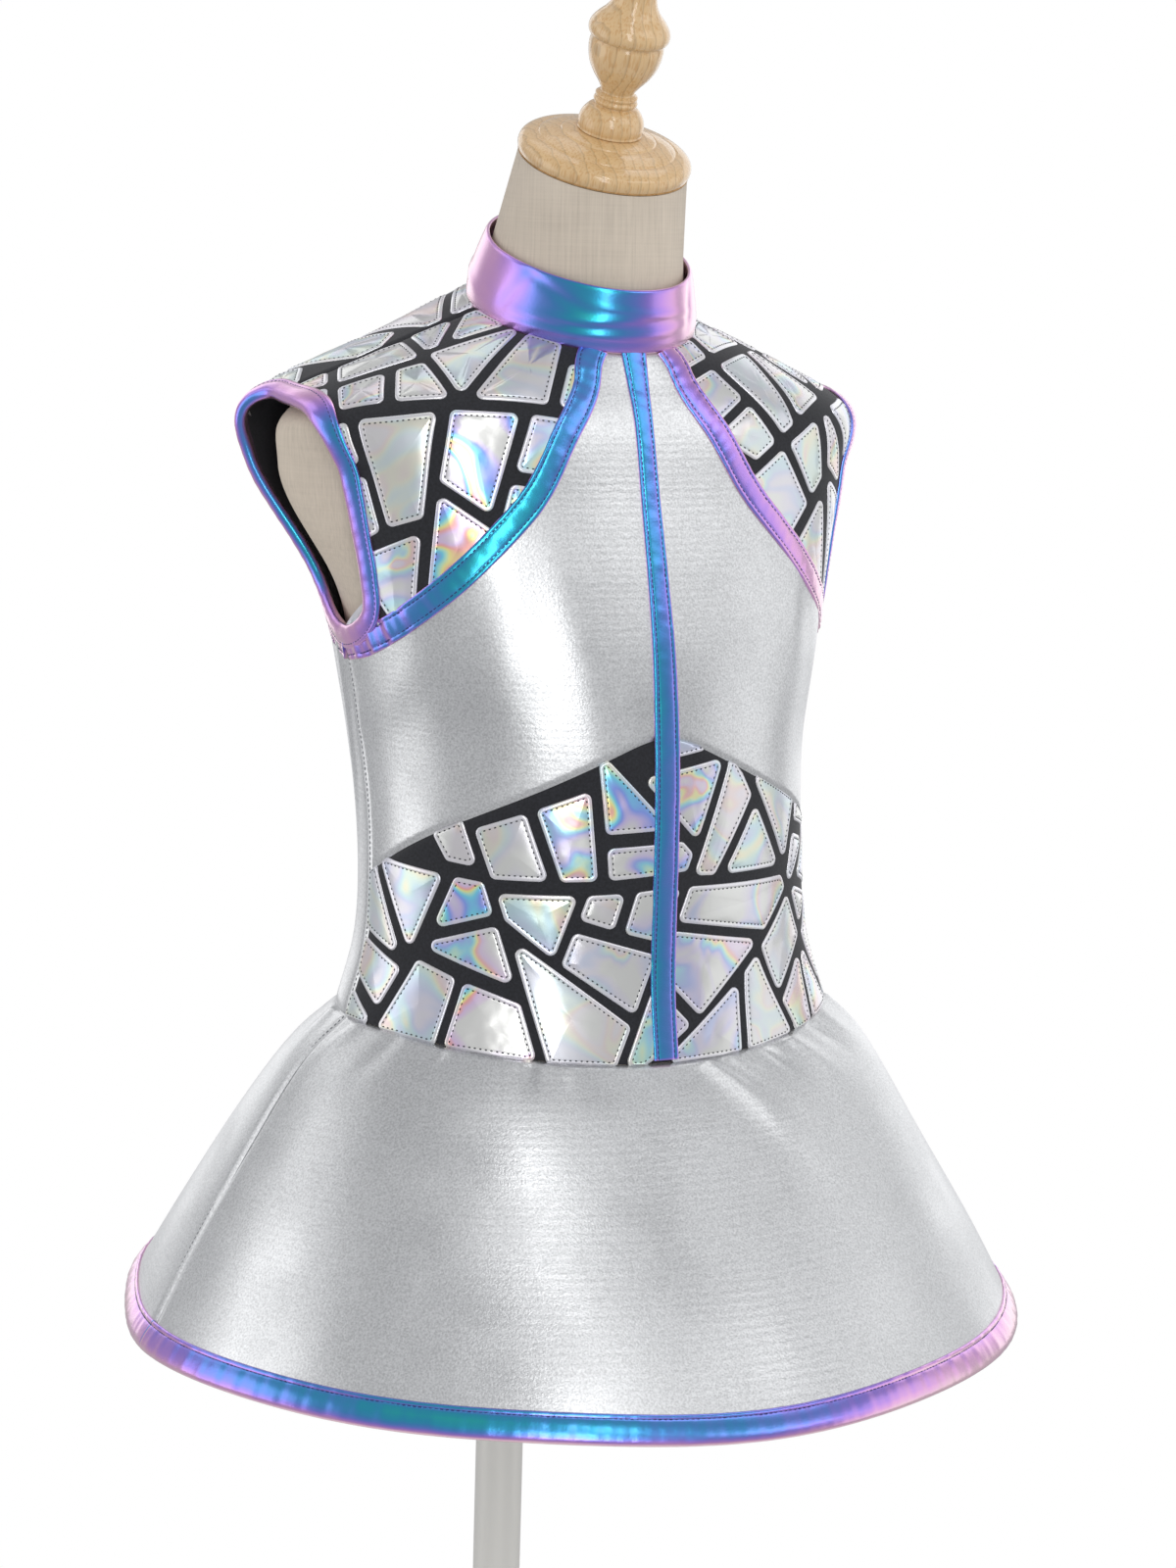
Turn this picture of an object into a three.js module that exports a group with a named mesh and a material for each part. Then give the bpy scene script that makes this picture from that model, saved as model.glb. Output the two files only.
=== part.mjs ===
// A child's alien-costume dress on a limbless dress form. Millimetres, +Z up.
// The front faces -Y and the wearer's right is -X. The origin is on the floor under the hem's middle.
//
// The bodice is one surface, body(turn, level). Turn goes round the wearer in degrees: 0 at the centre
// front, 90 at the wearer's left side, 180 at the centre back. Level counts the cross-sections from
// 0 at the waist seam to 10 at the collar. Every panel and band is a region of it, given a thickness.
import * as THREE from "three";

// Driving dimensions
const CLOTH = 1.2; // every cloth wall
const SEAM = 0.3; // between pieces that are sewn edge to edge
const LAID = 2.1; // from a panel's underside to the underside of what lies on it
const BAND_WIDTH = 12;
const BINDING_WIDTH = 8.5;
const COLLAR_CLOTH = 1.6;
const FORM_INSET = 5.5; // from the cloth's underside to the form
const CAP_RADIUS = 37.8;
const CAP_CENTRE = new THREE.Vector3(0, -1.6, 968.4);
const CAP_TILT = 21.5; // degrees forward
const POLE = { x: -6, y: 58, radius: 11 };
const FOOT = { radius: 135, height: 9, boss: 20, bossHeight: 34 };

const UNDERARM = 5; // levels of the named sections
const NECK = 10;

// Cross-sections of the bodice, from the waist seam up. Fullness under 1 squares a section's corners.
// Bend is 1 where a section lies in one plane and 2 where its front and back bow up or down.
const COLUMNS = "frontY frontZ sideX sideY sideZ backY backZ fullness bend";
const bodice = table(COLUMNS, [
  [-86, 588, 113.5, -4, 600, 77, 606, 1, 2],
  [-81, 617, 104.5, -2, 628, 77, 633, 1, 2],
  [-80, 645, 101.5, 0, 656, 79, 660, 1, 2],
  [-80, 680, 101, 4, 690, 85, 694, 1, 2],
  [-78.5, 716, 103.5, 10, 725, 94, 729, 1, 2],
  [-73.5, 757, 111, 12, 768, 101, 773, 0.98, 2],
  [-65.5, 791, 118, 16, 803, 104, 810, 0.95, 2],
  [-56, 825, 127, 23, 836, 101, 846, 0.92, 2],
  [-47.5, 857, 133, 28, 861, 90, 882, 0.9, 2],
  [-40, 876, 94, 24, 883, 78, 904, 0.96, 1.6],
  [-35, 889, 47.2, 18, 903.5, 67, 919, 1, 1],
]);

// Cross-sections of the skirt, from the waist seam down to the hem.
const skirt = table(COLUMNS, [
  [-86, 586, 113.5, -4, 598, 77, 604, 1, 2],
  [-104, 567, 134, -3, 580, 97, 588, 1, 2],
  [-132, 532, 157, -2, 544, 130, 552, 1, 2],
  [-164, 492, 181.5, -1, 501, 165, 508, 1, 2],
  [-193, 454, 203, 0, 458, 197, 464, 1, 2],
]);
const HEM = skirt.length - 1;
const HEM_BAND_START = HEM - 0.27;
const FLUTE_REACH = 0.009; // as a share of the hem's radius

// The stand collar, from its seam up.
const collar = table(COLUMNS, [
  [-36.5, 891.5, 47.8, 18, 906.3, 67.5, 922.5, 1, 1],
  [-38.2, 903.5, 44.6, 15, 918.6, 62, 934.8, 1, 1],
  [-40, 915.5, 41.5, 12, 931, 56, 946.5, 1, 1],
]);

// The form below the waist seam, and its neck up to just under the cap.
const formHips = table(COLUMNS, [
  [-52, 500, 76, 4, 500, 70, 500, 1, 2],
  [-74, 506, 98, 2, 506, 84, 506, 1, 2],
  [-84, 530, 108, 0, 530, 86, 530, 1, 2],
]);
const formNeck = table(COLUMNS, [
  [-31, 888, 43.2, 17, 902, 61.5, 917.5, 1, 1],
  [-35.6, 905, 41.8, 14, 920, 58, 936, 1, 1],
  [-37.4, 922, 39.6, 10, 937.5, 50, 952.5, 1, 1],
]);

// Seam lines on the wearer's left half, each as turn and level.
const raglanSeam = line([
  [21, 9.99],
  [13.6, 9],
  [13.2, 8],
  [23, 7],
  [42.5, 6],
  [61, 5.3],
  [77, 4.92],
  [90, 4.79],
]);
const shoulderSeam = line([
  [92, 9.99],
  [95, 9],
  [98, 8.15],
]);
const armholeFront = line([
  [98, 8.15],
  [80, 8.03],
  [71.5, 7.7],
  [70, 7.2],
  [71, 6.7],
  [73, 6.15],
  [74, 5.7],
  [77, 5.22],
  [90, 4.99],
]);
const armholeBack = line([
  [98, 8.15],
  [107, 8.08],
  [113, 7.8],
  [115.5, 7.3],
  [115, 6.8],
  [113.5, 6.3],
  [110.5, 5.75],
  [105, 5.28],
  [90, 4.99],
]);

// Rows of numbers as objects with named columns.
function table(names, rows) {
  const columns = names.split(" ");
  return rows.map((row) => Object.fromEntries(columns.map((name, i) => [name, row[i]])));
}

// A smooth curve through turn and level pairs.
function line(points) {
  return new THREE.SplineCurve(points.map(([turn, level]) => new THREE.Vector2(turn, level)));
}

// The section at a fractional level, by a Catmull-Rom curve through each column.
function sectionAt(sections, level) {
  const last = sections.length - 1;
  const at = Math.min(Math.max(level, 0), last);
  const i = Math.min(Math.floor(at), last - 1);
  const f = at - i;
  const section = {};
  for (const name of Object.keys(sections[0])) {
    const b = sections[i][name];
    const c = sections[i + 1][name];
    const a = i > 0 ? sections[i - 1][name] : 2 * b - c;
    const d = i + 2 <= last ? sections[i + 2][name] : 2 * c - b;
    section[name] =
      0.5 * (2 * b + (c - a) * f + (2 * a - 5 * b + 4 * c - d) * f * f + (3 * b - a - 3 * c + d) * f ** 3);
  }
  return section;
}

// A point of a section: half ellipses before and behind its side points, with its height blended.
function ringPoint(section, turn) {
  const angle = THREE.MathUtils.degToRad(turn);
  const sine = Math.sin(angle);
  const cosine = Math.cos(angle);
  const across = Math.sign(sine) * Math.abs(sine) ** section.fullness;
  const along = Math.abs(cosine) ** section.fullness;
  const endY = cosine > 0 ? section.frontY : section.backY;
  const endZ = cosine > 0 ? section.frontZ : section.backZ;
  return new THREE.Vector3(
    section.sideX * across,
    section.sideY + (endY - section.sideY) * along,
    section.sideZ + (endZ - section.sideZ) * Math.abs(cosine) ** section.bend,
  );
}

// Where a surface swells out sideways: how far, round which turn, and between which levels.
const BACK_EDGE = { reach: 24, turn: 122, spread: 24, from: 5, to: 9.3 };
const ARM_CAP = { reach: 15, turn: 98, spread: 13, from: 5, to: 8.4 };

function swollen(turn, level, swell) {
  const point = ringPoint(sectionAt(bodice, level), turn);
  const height = (level - swell.from) / (swell.to - swell.from);
  if (height > 0 && height < 1) {
    const around = Math.exp(-(((Math.abs(turn) - swell.turn) / swell.spread) ** 2));
    point.x += Math.sign(turn) * swell.reach * around * Math.sin(Math.PI * height) ** 2;
  }
  return point;
}

// The bodice's cloth stands off the form behind the armholes. The form has the bodice's sections, and
// its arm caps fill the armholes.
const body = (turn, level) => swollen(turn, level, BACK_EDGE);
const formBody = (turn, level) => swollen(turn > 180 ? turn - 360 : turn, level, ARM_CAP);

// The skirt's cloth swings out in shallow flutes that grow towards the hem.
function skirtCloth(turn, level) {
  const point = ringPoint(sectionAt(skirt, level), turn);
  const angle = THREE.MathUtils.degToRad(turn);
  const flutes = Math.cos(5 * angle) + 0.6 * Math.cos(8 * angle);
  const reach = 1 + FLUTE_REACH * flutes * (level / HEM) ** 2;
  point.x *= reach;
  point.y *= reach;
  return point;
}

const collarCloth = (turn, level) => ringPoint(sectionAt(collar, level), turn);

// The surface's two tangents and outward normal at a turn and level.
function frameAt(surface, turn, level) {
  const step = 0.01;
  const turnwise = surface(turn + step, level).sub(surface(turn - step, level)).divideScalar(2 * step);
  const below = Math.max(level - step, 0);
  const upwise = surface(turn, level + step).sub(surface(turn, below)).divideScalar(level + step - below);
  return { turnwise, upwise, normal: turnwise.clone().cross(upwise).normalize() };
}

// A surface point lifted along the outward normal. A level that counts downwards has its normal turned.
function lifted(surface, turn, level, lift, downwards = false) {
  const inside = THREE.MathUtils.clamp(level, 0.02, Infinity);
  const { normal } = frameAt(surface, turn, Math.min(inside, topLevel(surface) - 0.02));
  return surface(turn, level).addScaledVector(normal, downwards ? -lift : lift);
}

function topLevel(surface) {
  if (surface === skirtCloth) return HEM;
  if (surface === collarCloth) return collar.length - 1;
  return NECK;
}

// The turn and level that lie a distance to one side of a line on the bodice, measured square to it.
function beside(curve, t, distance) {
  const at = curve.getPoint(t);
  const ahead = curve.getTangent(t);
  const { turnwise, upwise, normal } = frameAt(body, at.x, Math.min(at.y, NECK - 0.02));
  const along = turnwise.clone().multiplyScalar(ahead.x).addScaledVector(upwise, ahead.y);
  const across = normal.clone().cross(along).normalize();
  const tt = turnwise.dot(turnwise);
  const tu = turnwise.dot(upwise);
  const uu = upwise.dot(upwise);
  const determinant = tt * uu - tu * tu;
  const ct = across.dot(turnwise);
  const cu = across.dot(upwise);
  return {
    turn: at.x + (distance * (ct * uu - cu * tu)) / determinant,
    level: at.y + (distance * (cu * tt - ct * tu)) / determinant,
  };
}

// A closed body between an outer and an inner grid, each point given by place(a, b, side) with a and b
// from 0 to 1. It closes on itself along a where it is a loop.
function wall(columns, rows, place, loop = false) {
  const across = loop ? columns : columns + 1;
  const perSide = across * (rows + 1);
  const positions = [];
  for (const side of [0, 1])
    for (let j = 0; j <= rows; j++)
      for (let i = 0; i < across; i++) positions.push(...place(i / columns, j / rows, side).toArray());
  const id = (side, i, j) => side * perSide + j * across + (i % across);
  const faces = [];
  const quad = (a, b, c, d) => faces.push(a, b, c, a, c, d);
  for (let j = 0; j < rows; j++)
    for (let i = 0; i < columns; i++) {
      quad(id(1, i, j), id(1, i + 1, j), id(1, i + 1, j + 1), id(1, i, j + 1));
      quad(id(0, i, j), id(0, i, j + 1), id(0, i + 1, j + 1), id(0, i + 1, j));
    }
  for (let i = 0; i < columns; i++) {
    quad(id(0, i, 0), id(0, i + 1, 0), id(1, i + 1, 0), id(1, i, 0));
    quad(id(1, i, rows), id(1, i + 1, rows), id(0, i + 1, rows), id(0, i, rows));
  }
  if (!loop)
    for (let j = 0; j < rows; j++) {
      quad(id(0, 0, j), id(1, 0, j), id(1, 0, j + 1), id(0, 0, j + 1));
      quad(id(1, columns, j), id(0, columns, j), id(0, columns, j + 1), id(1, columns, j + 1));
    }
  return solid(positions, faces);
}

// A closed body over rings of points, with a fan to the middle of its first and last ring.
function stack(rings) {
  const count = rings[0].length;
  const middle = (ring) => ring.reduce((sum, p) => sum.add(p), new THREE.Vector3()).divideScalar(count);
  const positions = rings.flat().flatMap((p) => p.toArray());
  positions.push(...middle(rings[0]).toArray(), ...middle(rings.at(-1)).toArray());
  const faces = [];
  const foot = rings.length * count;
  for (let i = 0; i < count; i++) {
    const next = (i + 1) % count;
    for (let j = 0; j + 1 < rings.length; j++) {
      const low = j * count;
      const high = low + count;
      faces.push(low + i, low + next, high + next, low + i, high + next, high + i);
    }
    const top = (rings.length - 1) * count;
    faces.push(foot, next, i, foot + 1, top + i, top + next);
  }
  return solid(positions, faces);
}

// A geometry whose faces point outwards, whichever way its points were listed.
function solid(positions, faces) {
  let volume = 0;
  const corner = (k) => new THREE.Vector3().fromArray(positions, 3 * faces[k]);
  for (let k = 0; k < faces.length; k += 3) volume += corner(k).dot(corner(k + 1).cross(corner(k + 2)));
  if (volume < 0)
    for (let k = 0; k < faces.length; k += 3) [faces[k + 1], faces[k + 2]] = [faces[k + 2], faces[k + 1]];
  const geometry = new THREE.BufferGeometry();
  geometry.setAttribute("position", new THREE.Float32BufferAttribute(positions, 3));
  geometry.setIndex(faces);
  geometry.computeVertexNormals();
  return geometry;
}

// Finishes
const finish = (color, roughness, metalness) => ({ color, roughness, metalness });
const SILVER = finish("#c9cbcc", 0.35, 0.8);
const MOSAIC = finish("#8c8e93", 0.4, 0.4);
const FOIL = finish("#4f8fd0", 0.25, 0.8);
const LINEN = finish("#c8beb2", 0.95, 0);
const WOOD = finish("#e1c396", 0.35, 0);
const STEEL = finish("#c8c6be", 0.35, 1);

const costume = new THREE.Group();

function add(name, geometry, look, parent = costume) {
  const mesh = new THREE.Mesh(geometry, new THREE.MeshStandardMaterial(look));
  mesh.name = name;
  parent.add(mesh);
  return mesh;
}

// The curved seam between chest and midriff: highest at the centre front, lowest at the side seams.
const MIDRIFF_TOP = { centre: 4.28, side: 2.18, apex: 0.08 };
const CHEST_MIDDLE = 5.9; // the centre front's level on the row that leaves the top of the side seam
const BACK_MIDDLE = 5.6; // and the centre back's

function fromCentre(s) {
  const { apex } = MIDRIFF_TOP;
  return (Math.hypot(s, apex) - apex) / (Math.hypot(1, apex) - apex);
}

function midriffTop(s) {
  return THREE.MathUtils.lerp(MIDRIFF_TOP.centre, MIDRIFF_TOP.side, fromCentre(s));
}

const HALF_SEAM_TURN = 0.15; // half of a seam's gap, as a turn at the side of the body
const HALF_SEAM_LEVEL = 0.006; // and as a level
const SIDE = 90 - HALF_SEAM_TURN;
const FRONT_COLUMNS = 18;
const RAGLAN_ROWS = 12;
const SIDE_ROWS = 6;
const BAND_TOP = NECK - 0.18; // laid bands stop below the collar

function bodiceWall(columns, rows, region) {
  return wall(columns, rows, (a, b, side) => {
    const { turn, level } = region(a, b);
    return lifted(body, turn, level, side * CLOTH);
  });
}

function midriffFront() {
  return bodiceWall(FRONT_COLUMNS, 8, (a, b) => {
    const s = 2 * a - 1;
    return { turn: s * SIDE, level: b * (midriffTop(s) - HALF_SEAM_LEVEL) };
  });
}

// A panel's free edge: up the side seam from a start level, then along the raglan seam to the collar.
// Edge runs from 0 to 1, and reaches the raglan seam at SIDE_SHARE.
const SIDE_SHARE = SIDE_ROWS / (SIDE_ROWS + RAGLAN_ROWS);

function sideThenRaglan(edge, start) {
  const end = raglanSeam.getPoint(1);
  if (edge <= SIDE_SHARE)
    return { turn: SIDE, level: THREE.MathUtils.lerp(start, end.y, edge / SIDE_SHARE) - HALF_SEAM_LEVEL };
  const along = 1 - (edge - SIDE_SHARE) / (1 - SIDE_SHARE);
  const at = beside(raglanSeam, along, -SEAM / 2);
  return { turn: Math.min(at.turn, SIDE), level: at.level };
}

// The level in the middle of a panel's row that ends at an edge's level: it rises evenly beside the side
// seam, and then closes on the edge's level towards the collar.
function acrossFromEdge(edge, edgeLevel, start, aboveSide) {
  if (edge <= SIDE_SHARE) return THREE.MathUtils.lerp(start, aboveSide, edge / SIDE_SHARE);
  const below = (NECK - edgeLevel) / (NECK - raglanSeam.getPoint(1).y);
  return NECK - below * (NECK - aboveSide);
}

function chestFront() {
  return bodiceWall(FRONT_COLUMNS, SIDE_ROWS + RAGLAN_ROWS, (a, b) => {
    const s = 2 * a - 1;
    const edge = sideThenRaglan(b, MIDRIFF_TOP.side + 2 * HALF_SEAM_LEVEL);
    const middle = acrossFromEdge(b, edge.level, MIDRIFF_TOP.centre + HALF_SEAM_LEVEL, CHEST_MIDDLE);
    const sweep = 1 + 0.7 * Math.min(b / SIDE_SHARE, 1);
    const level = THREE.MathUtils.lerp(middle, edge.level, 1 - (1 - fromCentre(s)) ** sweep);
    return { turn: s * edge.turn, level: Math.min(level, NECK) };
  });
}

function backBody(hand) {
  return bodiceWall(9, SIDE_ROWS + RAGLAN_ROWS, (a, b) => {
    const edge = sideThenRaglan(b, 0);
    const turn = THREE.MathUtils.lerp(180 - HALF_SEAM_TURN, 180 - edge.turn, a);
    const middle = acrossFromEdge(b, edge.level, 0, BACK_MIDDLE);
    const sweep = 1 + 0.7 * Math.min(b / SIDE_SHARE, 1);
    const level = THREE.MathUtils.lerp(middle, Math.max(edge.level, 0), 1 - (1 - a * a) ** sweep);
    return { turn: hand * turn, level: THREE.MathUtils.clamp(level, 0, NECK) };
  });
}

// The edge of a yoke away from the raglan seam: along the shoulder seam, then round the armhole.
const SHOULDER_SHARE = 4 / RAGLAN_ROWS;

function yokeEdge(t, armhole, gap) {
  if (t <= SHOULDER_SHARE) {
    const at = shoulderSeam.getPoint(t / SHOULDER_SHARE);
    return { turn: at.x + gap, level: at.y };
  }
  const at = armhole.getPoint((t - SHOULDER_SHARE) / (1 - SHOULDER_SHARE));
  return { turn: at.x + gap, level: at.y };
}

function yoke(hand, back) {
  const armhole = back ? armholeBack : armholeFront;
  const gap = back ? HALF_SEAM_TURN : -HALF_SEAM_TURN;
  return bodiceWall(6, RAGLAN_ROWS, (a, b) => {
    const inner = beside(raglanSeam, b, SEAM / 2);
    const outer = yokeEdge(b, armhole, gap);
    const innerTurn = back ? 180 - Math.min(inner.turn, SIDE) : Math.min(inner.turn, SIDE);
    const level = THREE.MathUtils.lerp(inner.level, outer.level, a);
    return { turn: hand * THREE.MathUtils.lerp(innerTurn, outer.turn, a), level: Math.min(level, NECK) };
  });
}

// A flat band laid on the panels along a line of the bodice.
function laidBand(steps, place) {
  return wall(2, steps, (a, b, side) => {
    const { turn, level } = place(b, (a - 0.5) * BAND_WIDTH);
    return lifted(body, turn, THREE.MathUtils.clamp(level, 0, BAND_TOP), LAID + side * CLOTH);
  });
}

function centreBand() {
  return laidBand(18, (b, across) => {
    const level = b * BAND_TOP;
    const { turnwise } = frameAt(body, 0, Math.max(level, 0.02));
    return { turn: across / turnwise.length(), level };
  });
}

function raglanBand(hand, back) {
  return laidBand(18, (b, across) => {
    const t = THREE.MathUtils.lerp(0.02, 1, b);
    const { turn, level } = beside(raglanSeam, t, across);
    const inFront = Math.min(turn, 90 - 2 * HALF_SEAM_TURN);
    return { turn: hand * (back ? 180 - inFront : inFront), level };
  });
}

// The binding folds over the armhole's edge. Its fold is a U across the edge: how far it reaches from
// the edge and its lift, for the cloth's two faces.
const bindingFold = table("reach innerLift outerLift turnOver", [
  [-BINDING_WIDTH, 3.9, 5.1, 0],
  [1.7, 3.9, 5.1, 1.2],
  [1.7, -1.5, -2.7, 1.2],
  [-BINDING_WIDTH + 2, -1.5, -2.7, 0],
]);

function armholeBinding(hand) {
  const around = 36;
  return wall(
    around,
    bindingFold.length - 1,
    (a, b, side) => {
      const fold = bindingFold[Math.round(b * (bindingFold.length - 1))];
      const lift = side ? fold.outerLift : fold.innerLift;
      const reach = fold.reach + side * fold.turnOver;
      const inFront = a < 0.5;
      const curve = inFront ? armholeFront : armholeBack;
      const t = THREE.MathUtils.clamp(inFront ? 2 * a : 2 - 2 * a, 0.015, 0.985);
      const at = beside(curve, t, inFront ? reach : -reach);
      return lifted(body, hand * at.turn, at.level, lift);
    },
    true,
  );
}

function standCollar() {
  return wall(
    36,
    2,
    (a, b, side) => lifted(collarCloth, 360 * a - 180, b * (collar.length - 1), side * COLLAR_CLOTH),
    true,
  );
}

// Skirt pieces run round one half of the wearer, between two levels of the skirt.
function skirtPiece(middleTurn, from, to, rows, inner, outer) {
  return wall(24, rows, (a, b, side) => {
    const turn = middleTurn + THREE.MathUtils.lerp(-SIDE, SIDE, a);
    const lift = side ? outer : inner;
    return lifted(skirtCloth, turn, THREE.MathUtils.lerp(from, to, b), lift, true);
  });
}

// The form: hips, the bodice's sections drawn in, and a neck up to the cap.
function formTorso() {
  const around = 48;
  const ring = (place) => Array.from({ length: around }, (_, i) => place((360 * i) / around));
  const rings = formHips.map((section) => ring((turn) => ringPoint(section, turn)));
  for (let level = 0; level <= 9.5; level += 0.5)
    rings.push(ring((turn) => lifted(formBody, turn, level, -FORM_INSET)));
  for (const section of formNeck) rings.push(ring((turn) => ringPoint(section, turn)));
  const tilt = THREE.MathUtils.degToRad(CAP_TILT);
  rings.push(
    ring((turn) => {
      const angle = THREE.MathUtils.degToRad(turn);
      const point = new THREE.Vector3(Math.sin(angle), -Math.cos(angle), 0).multiplyScalar(CAP_RADIUS - 0.6);
      return point.applyAxisAngle(new THREE.Vector3(1, 0, 0), tilt).add(CAP_CENTRE);
    }),
  );
  return stack(rings);
}

// Turned wood: half-profiles as radius and height above the neck's top.
function turned(profile) {
  return new THREE.LatheGeometry(
    profile.map(({ radius, height }) => new THREE.Vector2(radius, height)),
    28,
  ).rotateX(Math.PI / 2);
}

const capProfile = table("radius height", [
  [0, 0.5],
  [36.5, 0.5],
  [CAP_RADIUS, 2.5],
  [CAP_RADIUS, 6],
  [35, 10],
  [27, 13],
  [21, 14.2],
  [15.6, 14.8],
  [0, 14.8],
]);

const finialProfile = table("radius height", [
  [0, 15.1],
  [13.6, 15.1],
  [14.2, 19],
  [12.2, 24],
  [8.6, 27],
  [9.4, 28.8],
  [9, 30.6],
  [7.2, 32],
  [9.5, 37],
  [14, 43],
  [16, 50],
  [15.8, 56],
  [17.4, 57.5],
  [17.6, 61],
  [15.4, 65],
  [11, 69.5],
  [8.6, 75],
  [8.4, 80],
  [9.6, 84],
  [9.4, 89],
  [6.8, 93],
  [0, 95],
]);

function formPole() {
  const bottom = FOOT.height + SEAM;
  const top = formHips[0].frontZ - SEAM;
  return new THREE.CylinderGeometry(POLE.radius, POLE.radius, top - bottom, 32)
    .rotateX(Math.PI / 2)
    .translate(0, 0, (top + bottom) / 2);
}

const footProfile = table("radius height", [
  [0, 0],
  [FOOT.radius - 1.5, 0],
  [FOOT.radius, 1.5],
  [FOOT.radius, FOOT.height - 3],
  [FOOT.radius - 3, FOOT.height],
  [0, FOOT.height],
]);

const socketProfile = table("radius height", [
  [POLE.radius + SEAM, FOOT.height + SEAM],
  [FOOT.boss, FOOT.height + SEAM],
  [FOOT.boss, FOOT.bossHeight - 2],
  [FOOT.boss - 2, FOOT.bossHeight],
  [POLE.radius + SEAM, FOOT.bossHeight],
  [POLE.radius + SEAM, FOOT.height + SEAM],
]);

// Bodice panels
add("chest_front", chestFront(), SILVER);
add("midriff_front", midriffFront(), MOSAIC);
const hands = { right: -1, left: 1 };
for (const [name, hand] of Object.entries(hands)) {
  add(`yoke_front_${name}`, yoke(hand, false), MOSAIC);
  add(`yoke_back_${name}`, yoke(hand, true), MOSAIC);
  add(`back_body_${name}`, backBody(hand), SILVER);
}

// Foil trim
add("centre_band", centreBand(), FOIL);
add("collar", standCollar(), FOIL);
for (const [name, hand] of Object.entries(hands)) {
  add(`raglan_band_front_${name}`, raglanBand(hand, false), FOIL);
  add(`raglan_band_back_${name}`, raglanBand(hand, true), FOIL);
  add(`armhole_binding_${name}`, armholeBinding(hand), FOIL);
}

// Skirt
const halves = { front: 0, back: 180 };
const bandGap = 0.006; // SEAM as a level of the skirt
for (const [name, middleTurn] of Object.entries(halves)) {
  add(`skirt_${name}`, skirtPiece(middleTurn, 0, HEM_BAND_START - bandGap, 6, 0, CLOTH), SILVER);
  add(`hem_band_${name}`, skirtPiece(middleTurn, HEM_BAND_START, HEM, 1, -0.4, CLOTH + 0.6), FOIL);
}

// Dress form and stand
add("form_torso", formTorso(), LINEN);
const cap = new THREE.Group();
cap.position.copy(CAP_CENTRE);
cap.rotation.x = THREE.MathUtils.degToRad(CAP_TILT);
add("form_cap", turned(capProfile), WOOD, cap);
add("form_finial", turned(finialProfile), WOOD, cap);
costume.add(cap);
const stand = new THREE.Group();
stand.position.set(POLE.x, POLE.y, 0);
add("form_pole", formPole(), STEEL, stand);
add("form_pole_socket", turned(socketProfile), STEEL, stand);
add("form_foot", turned(footProfile), STEEL, stand);
costume.add(stand);

export default costume;
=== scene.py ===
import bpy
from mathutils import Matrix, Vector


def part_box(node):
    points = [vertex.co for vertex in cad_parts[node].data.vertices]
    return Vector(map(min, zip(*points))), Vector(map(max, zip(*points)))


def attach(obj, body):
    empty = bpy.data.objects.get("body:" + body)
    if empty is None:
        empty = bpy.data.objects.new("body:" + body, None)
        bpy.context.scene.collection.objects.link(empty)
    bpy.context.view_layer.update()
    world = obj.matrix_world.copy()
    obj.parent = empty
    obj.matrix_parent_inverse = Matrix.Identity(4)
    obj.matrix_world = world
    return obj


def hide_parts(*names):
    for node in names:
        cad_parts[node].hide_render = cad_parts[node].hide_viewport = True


bl_info = {
    "name": "Costume Dress",
    "version": (1, 0, 0),
    "blender": (4, 5, 0),
    "location": "View3D > Sidebar > Costume",
    "description": "Builds a child's costume dress of silver, mosaic and foil cloth on a dress form",
    "category": "Object",
}

import math
from functools import partial

import bpy
import numpy as np
from bpy.props import FloatProperty, FloatVectorProperty, IntProperty, PointerProperty
from mathutils import Matrix, Vector

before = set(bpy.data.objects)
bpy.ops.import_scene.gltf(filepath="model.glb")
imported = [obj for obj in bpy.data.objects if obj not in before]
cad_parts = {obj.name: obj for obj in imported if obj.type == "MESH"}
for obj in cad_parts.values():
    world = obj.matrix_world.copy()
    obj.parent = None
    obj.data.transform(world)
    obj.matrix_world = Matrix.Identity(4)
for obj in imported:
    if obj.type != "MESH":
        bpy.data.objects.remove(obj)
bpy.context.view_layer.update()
MM = 0.001

# ----------------------------------------------------------------------------------------------
# The dress's surfaces, in millimetres. Turn goes round the wearer in degrees, 0 at the centre front
# and 90 at the wearer's left side. Level counts cross-sections, on the bodice from 0 at the waist
# seam to 10 at the collar seam.

SECTION = "front_y front_z side_x side_y side_z back_y back_z fullness bend"
NECK = 10


def columns(names, rows):
    """Rows of numbers as named columns, each an array."""
    return dict(zip(names.split(), np.array(rows, float).T))


BODICE = columns(SECTION, [
    [-86, 588, 113.5, -4, 600, 77, 606, 1, 2],
    [-81, 617, 104.5, -2, 628, 77, 633, 1, 2],
    [-80, 645, 101.5, 0, 656, 79, 660, 1, 2],
    [-80, 680, 101, 4, 690, 85, 694, 1, 2],
    [-78.5, 716, 103.5, 10, 725, 94, 729, 1, 2],
    [-73.5, 757, 111, 12, 768, 101, 773, 0.98, 2],
    [-65.5, 791, 118, 16, 803, 104, 810, 0.95, 2],
    [-56, 825, 127, 23, 836, 101, 846, 0.92, 2],
    [-47.5, 857, 133, 28, 861, 90, 882, 0.9, 2],
    [-40, 876, 94, 24, 883, 78, 904, 0.96, 1.6],
    [-35, 889, 47.2, 18, 903.5, 67, 919, 1, 1],
])
SKIRT = columns(SECTION, [
    [-86, 587.4, 113.5, -4, 599.4, 77, 605.4, 1, 2],
    [-104, 567, 134, -3, 580, 97, 588, 1, 2],
    [-132, 532, 157, -2, 544, 130, 552, 1, 2],
    [-164, 492, 181.5, -1, 501, 165, 508, 1, 2],
    [-193, 454, 203, 0, 458, 197, 464, 1, 2],
])
HEM = 4
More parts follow.
